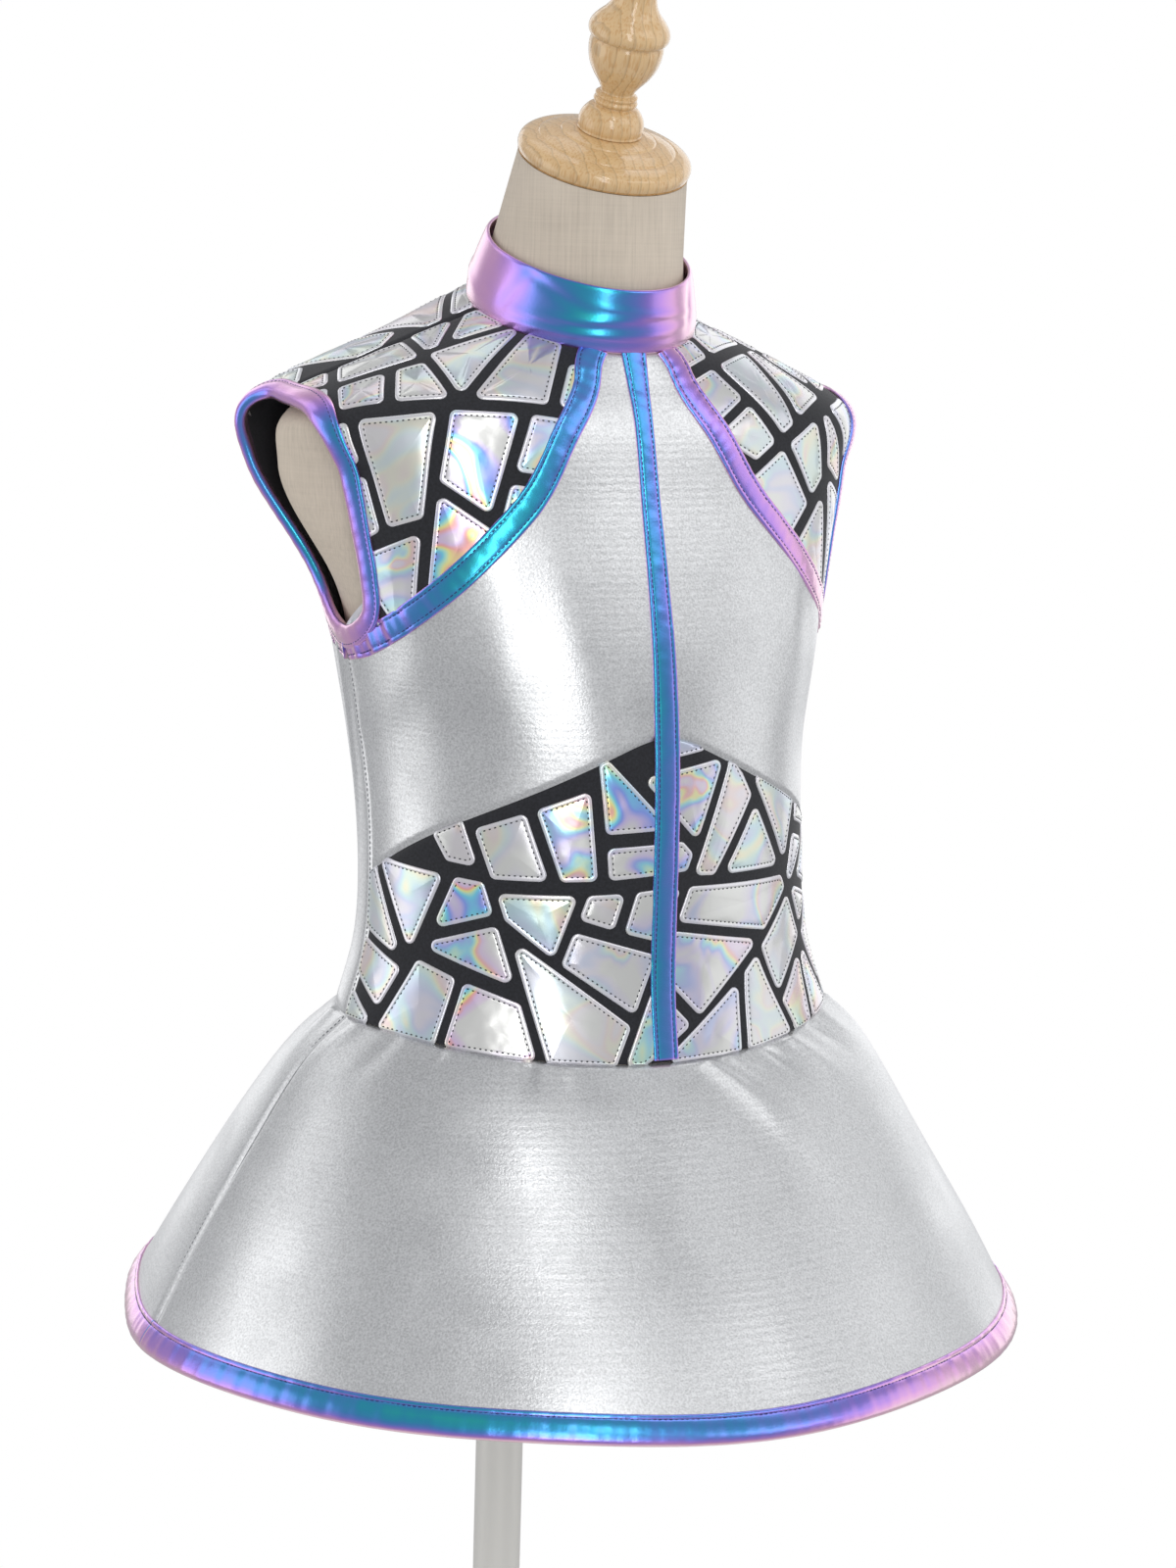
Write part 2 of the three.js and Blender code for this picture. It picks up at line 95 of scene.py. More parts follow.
COLLAR = columns(SECTION, [
    [-35.8, 889.5, 47.4, 18, 904, 67.2, 919.8, 1, 1],
    [-38, 903.5, 44.6, 15, 918.6, 62, 934.8, 1, 1],
    [-40, 915.5, 41.5, 12, 931, 56, 946.5, 1, 1],
])
FORM_HIPS = columns(SECTION, [
    [-52, 500, 76, 4, 500, 70, 500, 1, 2],
    [-74, 506, 98, 2, 506, 84, 506, 1, 2],
    [-84, 530, 108, 0, 530, 86, 530, 1, 2],
])
FORM_NECK = columns(SECTION, [
    [-31, 888, 43.2, 17, 902, 61.5, 917.5, 1, 1],
    [-35.6, 905, 41.8, 14, 920, 58, 936, 1, 1],
    [-37.4, 922, 39.6, 10, 937.5, 50, 952.5, 1, 1],
])
CAP_CENTRE = np.array([0, -1.6, 968.4])
CAP_RADIUS = 37.8
CAP_TILT = math.radians(21.5)
FORM_INSET = 5.5

# Where a surface swells out sideways: how far, round which turn, and between which levels.
BACK_EDGE = dict(reach=24, turn=122, spread=24, low=5, high=9.3)
ARM_CAP = dict(reach=15, turn=98, spread=13, low=5, high=8.4)

# Seam lines on the wearer's left half, each as turns and levels.
RAGLAN = np.array([[21, 9.99], [13.6, 9], [13.2, 8], [23, 7], [42.5, 6], [61, 5.3], [77, 4.92], [90, 4.79]])
SHOULDER = np.array([[92, 9.99], [95, 9], [98, 8.15]])
ARMHOLE_FRONT = np.array([
    [98, 8.15], [80, 8.03], [71.5, 7.7], [70, 7.2], [71, 6.7], [73, 6.15], [74, 5.7], [77, 5.22], [90, 4.99],
])
ARMHOLE_BACK = np.array([
    [98, 8.15], [107, 8.08], [113, 7.8], [115.5, 7.3], [115, 6.8], [113.5, 6.3], [110.5, 5.75], [105, 5.28],
    [90, 4.99],
])
MIDRIFF_CENTRE = 4.28
MIDRIFF_SIDE = 2.18
MIDRIFF_APEX = 0.08
CHEST_MIDDLE = 5.9
BACK_MIDDLE = 5.6
# How much of a panel's edge runs up the side seam, and of a yoke's along the shoulder
SIDE_SHARE = 1 / 3
SHOULDER_SHARE = 1 / 3
# How much the power of a body panel's sag grows up its side seam
SWEEP = 0.7
# The skirt's flutes at its hem, as a share of the distance from the wearer's middle
FLUTE_HEIGHT = 0.009
# Steps of the central differences, in degrees and in levels
TURN_STEP = 0.05
LEVEL_STEP = 0.004


def lerp(a, b, t):
    """The value at a share t of the way from a to b."""
    return a + (b - a) * t


def smooth(column, level):
    """Value at a fractional level: a Catmull-Rom curve through the column, straight beyond its ends."""
    last = len(column) - 1
    at = np.clip(level, 0, last)
    i = np.minimum(at.astype(int), last - 1)
    f = at - i
    ends = np.concatenate(([2 * column[0] - column[1]], column, [2 * column[-1] - column[-2]]))
    a, b, c, d = (ends[i + k] for k in range(4))
    value = 0.5 * (2 * b + (c - a) * f + (2 * a - 5 * b + 4 * c - d) * f**2 + (3 * b - a - 3 * c + d) * f**3)
    beyond = level - at
    slope = np.where(beyond < 0, column[1] - column[0], column[-1] - column[-2])
    return value + beyond * slope


def section_point(sections, turn, level):
    """x is the half width times sine to the fullness. y runs from the side's to the front's or back's
    with cosine to the fullness, and z likewise with cosine to the bend."""
    turn, level = np.broadcast_arrays(np.asarray(turn, float), np.asarray(level, float))
    now = {name: smooth(column, level) for name, column in sections.items()}
    sine, cosine = np.sin(np.radians(turn)), np.cos(np.radians(turn))
    along = np.abs(cosine) ** now["fullness"]
    end_y = np.where(cosine > 0, now["front_y"], now["back_y"])
    end_z = np.where(cosine > 0, now["front_z"], now["back_z"])
    x = now["side_x"] * np.sign(sine) * np.abs(sine) ** now["fullness"]
    y = now["side_y"] + (end_y - now["side_y"]) * along
    z = now["side_z"] + (end_z - now["side_z"]) * np.abs(cosine) ** now["bend"]
    return np.stack([x, y, z], -1)


def swollen(turn, level, swell):
    """The bodice's sections, pushed sideways by a bell curve of the turn and a squared sine of the level."""
    point = section_point(BODICE, turn, level)
    turn = (np.asarray(turn) + 180) % 360 - 180
    height = np.clip((level - swell["low"]) / (swell["high"] - swell["low"]), 0, 1)
    bell = np.exp(-(((np.abs(turn) - swell["turn"]) / swell["spread"]) ** 2))
    push = np.sign(turn) * swell["reach"] * bell * np.sin(np.pi * height) ** 2
    return point + push[..., None] * np.array([1, 0, 0])


def body(turn, level):
    """The bodice, swollen over the shoulder blades."""
    return swollen(turn, level, BACK_EDGE)


def form_body(turn, level):
    """The dress form under the bodice, swollen at the arm caps."""
    return swollen(turn, level, ARM_CAP)


def skirt(turn, level):
    """The skirt's sections, swung out in five and eight flutes that grow with the square of the level."""
    angle = np.radians(turn)
    flutes = np.cos(5 * angle) + 0.6 * np.cos(8 * angle)
    reach = 1 + FLUTE_HEIGHT * flutes * (np.maximum(level, 0) / HEM) ** 2
    return section_point(SKIRT, turn, level) * np.stack([reach, reach, np.ones_like(reach)], -1)


def collar(turn, level):
    """The collar's sections, from its seam at level 0 to its top edge at 2."""
    return section_point(COLLAR, turn, level)


def tangents(surface, turn, level):
    """Change per degree of turn and per level, by central differences."""
    by_turn = (surface(turn + TURN_STEP, level) - surface(turn - TURN_STEP, level)) / (2 * TURN_STEP)
    by_level = (surface(turn, level + LEVEL_STEP) - surface(turn, level - LEVEL_STEP)) / (2 * LEVEL_STEP)
    return by_turn, by_level


def unit(vectors):
    """Each vector divided by its length."""
    return vectors / np.maximum(np.linalg.norm(vectors, axis=-1, keepdims=True), 1e-9)


def outward(surface, turn, level):
    """Unit normal that points away from the wearer: the two tangents' cross product."""
    by_turn, by_level = tangents(surface, turn, level)
    return unit(np.cross(by_turn, by_level)) * (-1 if surface is skirt else 1)


def lifted(surface, turn, level, lift):
    """The surface moved along its outward normal by the lift."""
    turn, level, lift = np.broadcast_arrays(turn, level, lift)
    return surface(turn, level) + outward(surface, turn, level) * np.asarray(lift, float)[..., None]


def on_line(line, t):
    """Turn and level at t from 0 to 1 along a seam line."""
    at = np.asarray(t, float) * (len(line) - 1)
    return smooth(line[:, 0], at), smooth(line[:, 1], at)


def beside(place, t, distance):
    """Turn and level a distance to one side of a curve on the bodice. The step square to the curve is
    solved in the surface's own two tangents."""
    turn, level = place(t)
    ahead = place(t + 1e-3)
    before = place(t - 1e-3)
    by_turn, by_level = tangents(body, turn, level)
    along = by_turn * (ahead[0] - before[0])[..., None] + by_level * (ahead[1] - before[1])[..., None]
    across = unit(np.cross(outward(body, turn, level), along))
    tt, tu, uu = ((p * q).sum(-1) for p, q in ((by_turn, by_turn), (by_turn, by_level), (by_level, by_level)))
    ct, cu = (across * by_turn).sum(-1), (across * by_level).sum(-1)
    share = distance / (tt * uu - tu * tu)
    return turn + share * (ct * uu - cu * tu), level + share * (cu * tt - ct * tu)


def raglan_line(t):
    """The front raglan seam, from the collar at 0 to the side seam at 1."""
    return on_line(RAGLAN, t)


def back_raglan_line(t):
    """The front raglan seam, mirrored to the back."""
    turn, level = on_line(RAGLAN, t)
    return 180 - turn, level


def centre_line(t):
    """Straight up the centre front from the waist seam to the collar."""
    return 0 * t, t * NECK


def from_centre(s):
    """0 at the centre front and 1 at the side seam, along a hyperbola."""
    return (np.hypot(s, MIDRIFF_APEX) - MIDRIFF_APEX) / (np.hypot(1, MIDRIFF_APEX) - MIDRIFF_APEX)


def midriff_top(turn):
    """The midriff's top seam: highest at the centre front, and down the hyperbola to the side seams."""
    return lerp(MIDRIFF_CENTRE, MIDRIFF_SIDE, from_centre(np.abs(turn) / 90))


# Each panel is a region: turn and level for a and b from 0 to 1.


def midriff_region(a, b):
    """From side seam to side seam, and from the waist up to the midriff's top seam."""
    turn = 180 * a - 90
    return turn, b * midriff_top(turn)


def side_then_raglan(edge, start):
    """Up the side seam from a start level, then along the raglan seam to the collar."""
    low = RAGLAN[-1, 1]
    turn, level = on_line(RAGLAN, 1 - np.clip((edge - SIDE_SHARE) / (1 - SIDE_SHARE), 0, 1))
    beside_seam = edge <= SIDE_SHARE
    return np.where(beside_seam, 90, turn), np.where(beside_seam, lerp(start, low, edge / SIDE_SHARE), level)


def middle_level(edge, edge_level, start, above_side):
    """Rises evenly beside the side seam, and then closes on the edge's level towards the collar."""
    below = (NECK - edge_level) / (NECK - RAGLAN[-1, 1])
    evenly = lerp(start, above_side, edge / SIDE_SHARE)
    return np.where(edge <= SIDE_SHARE, evenly, NECK - below * (NECK - above_side))


def chest_region(a, b):
    """Between the two raglan seams: each row sags from its edges to the middle along a power of the
    hyperbola."""
    s = 2 * a - 1
    turn, level = side_then_raglan(b, MIDRIFF_SIDE)
    middle = middle_level(b, level, MIDRIFF_CENTRE, CHEST_MIDDLE)
    sweep = 1 + SWEEP * np.minimum(b / SIDE_SHARE, 1)
    return s * turn, lerp(middle, level, 1 - (1 - from_centre(s)) ** sweep)


def back_region(a, b):
    """From the centre back to the side seam and the raglan seam: each row sags to the middle along a power
    of a parabola."""
    edge_turn, level = side_then_raglan(b, 0)
    middle = middle_level(b, level, 0, BACK_MIDDLE)
    sweep = 1 + SWEEP * np.minimum(b / SIDE_SHARE, 1)
    return lerp(180, 180 - edge_turn, a), lerp(middle, level, 1 - (1 - a * a) ** sweep)


def yoke_edge(t, armhole):
    """Along the shoulder seam, then round the armhole."""
    shoulder = on_line(SHOULDER, np.clip(t / SHOULDER_SHARE, 0, 1))
    hole = on_line(armhole, np.clip((t - SHOULDER_SHARE) / (1 - SHOULDER_SHARE), 0, 1))
    return tuple(np.where(t <= SHOULDER_SHARE, above, below) for above, below in zip(shoulder, hole))


def yoke_region(back):
    """Straight rows from the raglan seam to the shoulder seam and the armhole."""
    def region(a, b):
        turn, level = on_line(RAGLAN, b)
        edge_turn, edge_level = yoke_edge(b, ARMHOLE_BACK if back else ARMHOLE_FRONT)
        return lerp(180 - turn if back else turn, edge_turn, a), lerp(level, edge_level, a)

    return region


# ----------------------------------------------------------------------------------------------
# Meshes


def grid_faces(rows, across, wrap_rows=False, wrap_across=False):
    """Quads that join each point of a grid to the next along and the next up."""
    i = np.arange(across if wrap_across else across - 1)
    j = np.arange(rows if wrap_rows else rows - 1)[:, None]
    next_i, next_j = (i + 1) % across, (j + 1) % rows
    corners = [j * across + i, j * across + next_i, next_j * across + next_i, next_j * across + i]
    return np.stack(np.broadcast_arrays(*corners), -1).reshape(-1, 4)


def put_mesh(name, points, faces, values=None, crease=40):
    """A smooth-shaded mesh from points in millimetres. It is turned outwards by the sign of its volume,
    the sum over its faces of a corner's dot product with two other corners' cross product."""
    points = np.asarray(points, float)
    first, second, third = (points[faces[:, k]] for k in range(3))
    volume = (first * np.cross(second, third)).sum()
    if faces.shape[1] == 4:
        volume += (first * np.cross(third, points[faces[:, 3]])).sum()
    if volume < 0:
        faces = faces[:, ::-1]
    mesh = bpy.data.meshes.new(name)
    mesh.vertices.add(len(points))
    mesh.vertices.foreach_set("co", (points * MM).astype(np.float32).ravel())
    # A quad with two equal corners is a triangle
    kept = faces != np.roll(faces, 1, axis=1)
    corners, counts = faces[kept], kept.sum(1)
    mesh.loops.add(len(corners))
    mesh.loops.foreach_set("vertex_index", corners.astype(np.int32))
    mesh.polygons.add(len(faces))
    mesh.polygons.foreach_set("loop_start", (np.cumsum(counts) - counts).astype(np.int32))
    mesh.update(calc_edges=True)
    mesh.validate()
    mesh.shade_smooth()
    mesh.set_sharp_from_angle(angle=math.radians(crease))
    for label, numbers in (values or {}).items():
        attribute = mesh.attributes.new(label, "FLOAT", "POINT")
        attribute.data.foreach_set("value", np.asarray(numbers, np.float32).ravel())
    piece = bpy.data.objects.new(name, mesh)
    bpy.context.scene.collection.objects.link(piece)
    return piece


def wall(outer, inner):
    """A closed wall between two grids: both faces, and strips between their four edges."""
    rows, across = outer.shape[:2]
    count = rows * across
    index = np.arange(count).reshape(rows, across)
    faces = grid_faces(rows, across)
    edges = [index[0], index[-1][::-1], index[:, -1], index[:, 0][::-1]]
    strips = [np.stack([e[:-1], e[:-1] + count, e[1:] + count, e[1:]], -1) for e in edges]
    points = np.concatenate([outer.reshape(-1, 3), inner.reshape(-1, 3)])
    return points, np.concatenate([faces, faces[:, ::-1] + count, *strips])


def tube(rings, wrap=False):
    """A closed tube over rings of points, joined into a loop or capped with a fan at each end."""
    rows, across = rings.shape[:2]
    points = rings.reshape(-1, 3)
    faces = grid_faces(rows, across, wrap_rows=wrap, wrap_across=True)
    if wrap:
        return points, faces
    i = np.arange(across)
    foot = rows * across
    start = np.stack([np.full(across, foot), (i + 1) % across, i, i], -1)
    end = foot - across + np.stack([np.full(across, across + 1), i, (i + 1) % across, (i + 1) % across], -1)
    points = np.concatenate([points, rings[0].mean(0)[None], rings[-1].mean(0)[None]])
    return points, np.concatenate([faces, start, end])


def run_from_edges(points):
    """Distance to the nearest edge of a grid of points, summed along its rows and its columns."""
    nearest = np.full(points.shape[:2], np.inf)
    for axis in (0, 1):
        steps = np.linalg.norm(np.diff(points, axis=axis), axis=-1)
        run = np.cumsum(steps, axis)
        start = np.insert(run, 0, 0, axis=axis)
        nearest = np.minimum(nearest, np.minimum(start, np.take(start, [-1], axis) - start))
    return nearest


def waves(x, y, rng, longest, shortest, count=9):
    """A soft uneven surface from -1 to 1: a sum of sine waves of random heading and phase, whose
    lengths run from longest to shortest."""
    total = np.zeros(np.broadcast(x, y).shape)
    for length in np.geomspace(longest, shortest, count):
        heading, phase = rng.uniform(0, 2 * np.pi, 2)
        total = total + np.sin(2 * np.pi * (x * np.cos(heading) + y * np.sin(heading)) / length + phase)
    return total / count**0.5 / 1.4


def folds(turn, level, table, around=1.9, up=34):
    """Soft ridges: each a bell curve across its own line, that fades towards the line's two ends. Around
    and up are the millimetres in one degree and one level."""
    height = np.zeros(np.broadcast(turn, level).shape)
    for row in zip(*table.values()):
        at_turn, at_level, heading, length, width, rise = row
        x, y = (turn - at_turn) * around, (level - at_level) * up
        angle = np.radians(heading)
        along = x * np.cos(angle) + y * np.sin(angle)
        across = y * np.cos(angle) - x * np.sin(angle)
        height = height + rise * np.exp(-((across / width) ** 2) - np.abs(along / length) ** 3)
    return height


FOLD = "turn level heading length width rise"

# ----------------------------------------------------------------------------------------------
# Finishes


def tinted(colour, share):
    """A linear colour made lighter or darker, with the same alpha."""
    return (*(min(part * share, 1.0) for part in colour[:3]), 1.0)


def linear(colour):
    """Linear red, green, blue and full alpha from an sRGB hex colour."""
    parts = np.array([int(colour[k:k + 2], 16) / 255 for k in (1, 3, 5)])
    flat = np.where(parts <= 0.04045, parts / 12.92, ((parts + 0.055) / 1.055) ** 2.4)
    return (*flat.tolist(), 1.0)


def add_node(tree, kind, inputs=None, links=None, stops=(), **settings):
    """Adds a node with its settings, its sockets' values, and links into it from (node, socket). Stops are
    a ramp's (position, colour) pairs, whose colours are hex or already linear."""
    node = tree.nodes.new(kind)
    for name, value in settings.items():
        setattr(node, name, value)
    for name, value in (inputs or {}).items():
        node.inputs[name].default_value = value
    for name, (source, socket) in (links or {}).items():
        tree.links.new(source.outputs[socket], node.inputs[name])
    if stops:
        points = node.color_ramp.elements
        for position, colour in stops[1:-1]:
            points.new(position)
        for point, (position, colour) in zip(points, stops):
            point.position = position
            point.color = linear(colour) if isinstance(colour, str) else colour
    return node


def new_finish(name, colour, **inputs):
    """A material with one Principled shader, and its colour and uniform values on the shader."""
    material = bpy.data.materials.new(name)
    material.use_nodes = True
    shader = material.node_tree.nodes["Principled BSDF"]
    shader.inputs["Base Color"].default_value = colour
    for label, value in inputs.items():
        shader.inputs[label.replace("_", " ")].default_value = value
    return material, material.node_tree, shader


def silver_lame(colour):
    """Foil-coated knit: a metal film crazed over fine courses, so its gloss is broad and grainy."""
    material, tree, shader = new_finish("silver foil-coated knit", colour, Metallic=0.88, Roughness=0.36)
    place = add_node(tree, "ShaderNodeTexCoord")
    # The foil's crazing is about 0.3 mm. It is drawn at 0.9 mm so that it shows
    craze = add_node(tree, "ShaderNodeTexNoise", {"Scale": 1100.0, "Detail": 1.0, "Roughness": 0.6},
                     {"Vector": (place, "Object")})
    # Knit courses, 1.6 mm apart, a little uneven
    courses = add_node(tree, "ShaderNodeTexWave", {"Scale": 98.0, "Distortion": 3.0, "Detail": 2.0,
                                                   "Detail Scale": 4.0}, {"Vector": (place, "Object")},
                       bands_direction="Z")
    # Handling marks, 40 mm across
    marks = add_node(tree, "ShaderNodeTexNoise", {"Scale": 25.0, "Detail": 3.0},
                     {"Vector": (place, "Object")})
    gloss = add_node(tree, "ShaderNodeMapRange", {"From Min": 0.3, "From Max": 0.7, "To Min": 0.28,
                                                  "To Max": 0.44}, {"Value": (marks, "Fac")})
    tree.links.new(gloss.outputs["Result"], shader.inputs["Roughness"])
    shade = add_node(tree, "ShaderNodeValToRGB", links={"Fac": (craze, "Fac")},
                     stops=[(0.3, tinted(colour, 0.8)), (0.55, colour), (0.75, tinted(colour, 1.13))])
    tree.links.new(shade.outputs["Color"], shader.inputs["Base Color"])
    rough = add_node(tree, "ShaderNodeBump", {"Strength": 0.5, "Distance": 0.00012},
                     {"Height": (craze, "Fac")})
    knit = add_node(tree, "ShaderNodeBump", {"Strength": 0.16, "Distance": 0.00012},
                    {"Height": (courses, "Fac"), "Normal": (rough, "Normal")})
    tree.links.new(knit.outputs["Normal"], shader.inputs["Normal"])
    return material


def black_cloth(colour):
    """Matt black polyester knit: a soft nap with a faint sheen."""
    material, tree, shader = new_finish("black brushed knit", colour, Roughness=0.88, Sheen_Weight=0.12,
                                        Sheen_Roughness=0.5)
    place = add_node(tree, "ShaderNodeTexCoord")
    nap = add_node(tree, "ShaderNodeTexNoise", {"Scale": 900.0, "Detail": 2.0}, {"Vector": (place, "Object")})
    shade = add_node(tree, "ShaderNodeValToRGB", links={"Fac": (nap, "Fac")},
                     stops=[(0.3, tinted(colour, 0.7)), (0.7, tinted(colour, 1.5))])
    tree.links.new(shade.outputs["Color"], shader.inputs["Base Color"])
    bump = add_node(tree, "ShaderNodeBump", {"Strength": 0.4, "Distance": 0.0002}, {"Height": (nap, "Fac")})
    tree.links.new(bump.outputs["Normal"], shader.inputs["Normal"])
    return material


def holographic_vinyl(colour):
    """Holographic vinyl: a bright film with a fine grating, which smears light into pale bands of colour.
    Each shard has its own smear, and its pressed rim carries a painted highlight, a paler colour mixed in.
    How much colour a shard shows is partly random and partly painted reflection."""
    material, tree, shader = new_finish("holographic vinyl", colour, Metallic=0.66, Roughness=0.3,
                                        Coat_Weight=0.45, Coat_Roughness=0.12)
    place = add_node(tree, "ShaderNodeTexCoord")
    shard = add_node(tree, "ShaderNodeAttribute", attribute_name="shard")
    rim = add_node(tree, "ShaderNodeAttribute", attribute_name="rim")
    lively = add_node(tree, "ShaderNodeAttribute", attribute_name="lively")
    apart = add_node(tree, "ShaderNodeCombineXYZ", links={"X": (shard, "Fac"), "Y": (shard, "Fac")})
    moved = add_node(tree, "ShaderNodeVectorMath", {1: (7.0, 3.0, 5.0)}, {0: (apart, "Vector")},
                     operation="MULTIPLY")
    shifted = add_node(tree, "ShaderNodeVectorMath", links={0: (place, "Object"), 1: (moved, "Vector")},
                       operation="ADD")
    # Smears about 25 mm long
    smear = add_node(tree, "ShaderNodeTexNoise", {"Scale": 34.0, "Detail": 1.5, "Roughness": 0.45,
                                                  "Distortion": 0.9}, {"Vector": (shifted, "Vector")})
    colours = add_node(tree, "ShaderNodeValToRGB", links={"Fac": (smear, "Fac")}, stops=[
        (0.33, "#dededb"), (0.39, "#cfc3ee"), (0.43, "#8fa6f4"), (0.475, "#7fd8f2"), (0.505, "#bff0d6"),
        (0.53, "#f6ee9c"), (0.56, "#f7b3ae"), (0.60, "#e2c9ea"), (0.68, "#e3e3e0"),
    ])
    # How much of the smears' colour shows: random per shard, and painted reflection where the shard faces the
    # way the foil's painted colour is teal
    amount = add_node(tree, "ShaderNodeMapRange", {"To Min": 0.12, "To Max": 1.0}, {"Value": (lively, "Fac")})
    film = add_node(tree, "ShaderNodeMix", {6: colour},
                    {0: (amount, "Result"), 7: (colours, "Color")}, data_type="RGBA")
    # Painted highlight: the rim is mixed towards a pale lilac white
    edge = add_node(tree, "ShaderNodeMix", {7: linear("#e6e4ea")}, {0: (rim, "Fac"), 6: (film, 2)},
                    data_type="RGBA")
    tree.links.new(edge.outputs[2], shader.inputs["Base Color"])
    # Soft dents about 9 mm across
    dents = add_node(tree, "ShaderNodeTexNoise", {"Scale": 110.0, "Detail": 1.0},
                     {"Vector": (shifted, "Vector")})
    depth = add_node(tree, "ShaderNodeMapRange", {"To Min": 0.08, "To Max": 0.7}, {"Value": (lively, "Fac")})
    bump = add_node(tree, "ShaderNodeBump", {"Distance": 0.0006},
                    {"Height": (dents, "Fac"), "Strength": (depth, "Result")})
    tree.links.new(bump.outputs["Normal"], shader.inputs["Normal"])
    return material


def iridescent_foil(colour):
    """Foil-printed knit over a fine grain. Its colour is painted reflection: an attribute fixed on the
    surface runs it from teal where the surface faces one fixed direction, through blue and violet, to pink as
    it turns away."""
    material, tree, shader = new_finish("iridescent foil knit", colour, Metallic=0.9, Roughness=0.27,
                                        Coat_Weight=0.25, Coat_Roughness=0.15)
    place = add_node(tree, "ShaderNodeTexCoord")
    # The foil's painted reflection colour: an attribute painted on the piece from its normals
    hue = add_node(tree, "ShaderNodeAttribute", attribute_name="hue")
    # Uneven film, in patches of 30 mm
    patches = add_node(tree, "ShaderNodeTexNoise", {"Scale": 33.0, "Detail": 2.0},
                       {"Vector": (place, "Object")})
    wander = add_node(tree, "ShaderNodeMapRange", {"From Min": 0.25, "From Max": 0.75, "To Min": -0.07,
                                                   "To Max": 0.07}, {"Value": (patches, "Fac")})
    total = add_node(tree, "ShaderNodeMath", links={0: (hue, "Fac"), 1: (wander, "Result")}, operation="ADD")
    colours = add_node(tree, "ShaderNodeValToRGB", links={"Fac": (total, "Value")}, stops=[
        (0.0, "#2fb6ba"), (0.15, "#33a1c6"), (0.28, "#4c90d2"), (0.40, "#7089e0"), (0.52, "#9a84e4"),
        (0.64, "#c193e2"), (0.77, "#dfaada"), (1.0, "#efcbd8"),
    ])
    dyed = add_node(tree, "ShaderNodeMix", {0: 1.0, 7: colour}, {6: (colours, "Color")}, data_type="RGBA",
                    blend_type="MULTIPLY")
    tree.links.new(dyed.outputs[2], shader.inputs["Base Color"])
    # The grain is about 0.4 mm. It is drawn at 1 mm so that it shows
    grain = add_node(tree, "ShaderNodeTexNoise", {"Scale": 1000.0, "Detail": 1.0},
                     {"Vector": (place, "Object")})
    bump = add_node(tree, "ShaderNodeBump", {"Strength": 0.3, "Distance": 0.0001}, {"Height": (grain, "Fac")})
    tree.links.new(bump.outputs["Normal"], shader.inputs["Normal"])
    return material


def thread(name, colour):
    """Polyester sewing thread: twisted, with a soft gloss."""
    material, tree, shader = new_finish(name, colour, Roughness=0.5, Sheen_Weight=0.1)
    place = add_node(tree, "ShaderNodeTexCoord")
    twist = add_node(tree, "ShaderNodeTexNoise", {"Scale": 2500.0}, {"Vector": (place, "Object")})
    bump = add_node(tree, "ShaderNodeBump", {"Strength": 0.3, "Distance": 0.0001}, {"Height": (twist, "Fac")})
    tree.links.new(bump.outputs["Normal"], shader.inputs["Normal"])
    return material


def linen(colour):
    """Natural linen, pasted on a shell: a plain weave with thicker slubs up and across it."""
    material, tree, shader = new_finish("natural linen", colour, Roughness=0.93)
    place = add_node(tree, "ShaderNodeTexCoord")
    # Upright threads 1.4 mm apart and 45 mm long between slubs, then the same across
    upright = add_node(tree, "ShaderNodeMapping", {"Scale": (1100.0, 1100.0, 24.0)},
                       {"Vector": (place, "Object")})
    warp = add_node(tree, "ShaderNodeTexNoise", {"Scale": 1.0, "Detail": 2.0, "Roughness": 0.55},
                    {"Vector": (upright, "Vector")})
    level = add_node(tree, "ShaderNodeMapping", {"Scale": (26.0, 26.0, 1100.0)},
                     {"Vector": (place, "Object")})
    weft = add_node(tree, "ShaderNodeTexNoise", {"Scale": 1.0, "Detail": 2.0, "Roughness": 0.55},
                    {"Vector": (level, "Vector")})
    weave = add_node(tree, "ShaderNodeMix", {0: 0.3}, {2: (warp, "Fac"), 3: (weft, "Fac")})
    # Uneven paste and dye, in patches of 36 mm
    stain = add_node(tree, "ShaderNodeTexNoise", {"Scale": 28.0, "Detail": 4.0},
                     {"Vector": (place, "Object")})
    both = add_node(tree, "ShaderNodeMix", {0: 0.35}, {2: (weave, "Result"), 3: (stain, "Fac")})
    shade = add_node(tree, "ShaderNodeValToRGB", links={"Fac": (both, "Result")},
                     stops=[(0.34, tinted(colour, 0.88)), (0.48, colour), (0.64, tinted(colour, 1.1))])
    tree.links.new(shade.outputs["Color"], shader.inputs["Base Color"])
    bump = add_node(tree, "ShaderNodeBump", {"Strength": 0.45, "Distance": 0.0004},
                    {"Height": (weave, "Result")})
    tree.links.new(bump.outputs["Normal"], shader.inputs["Normal"])
    return material


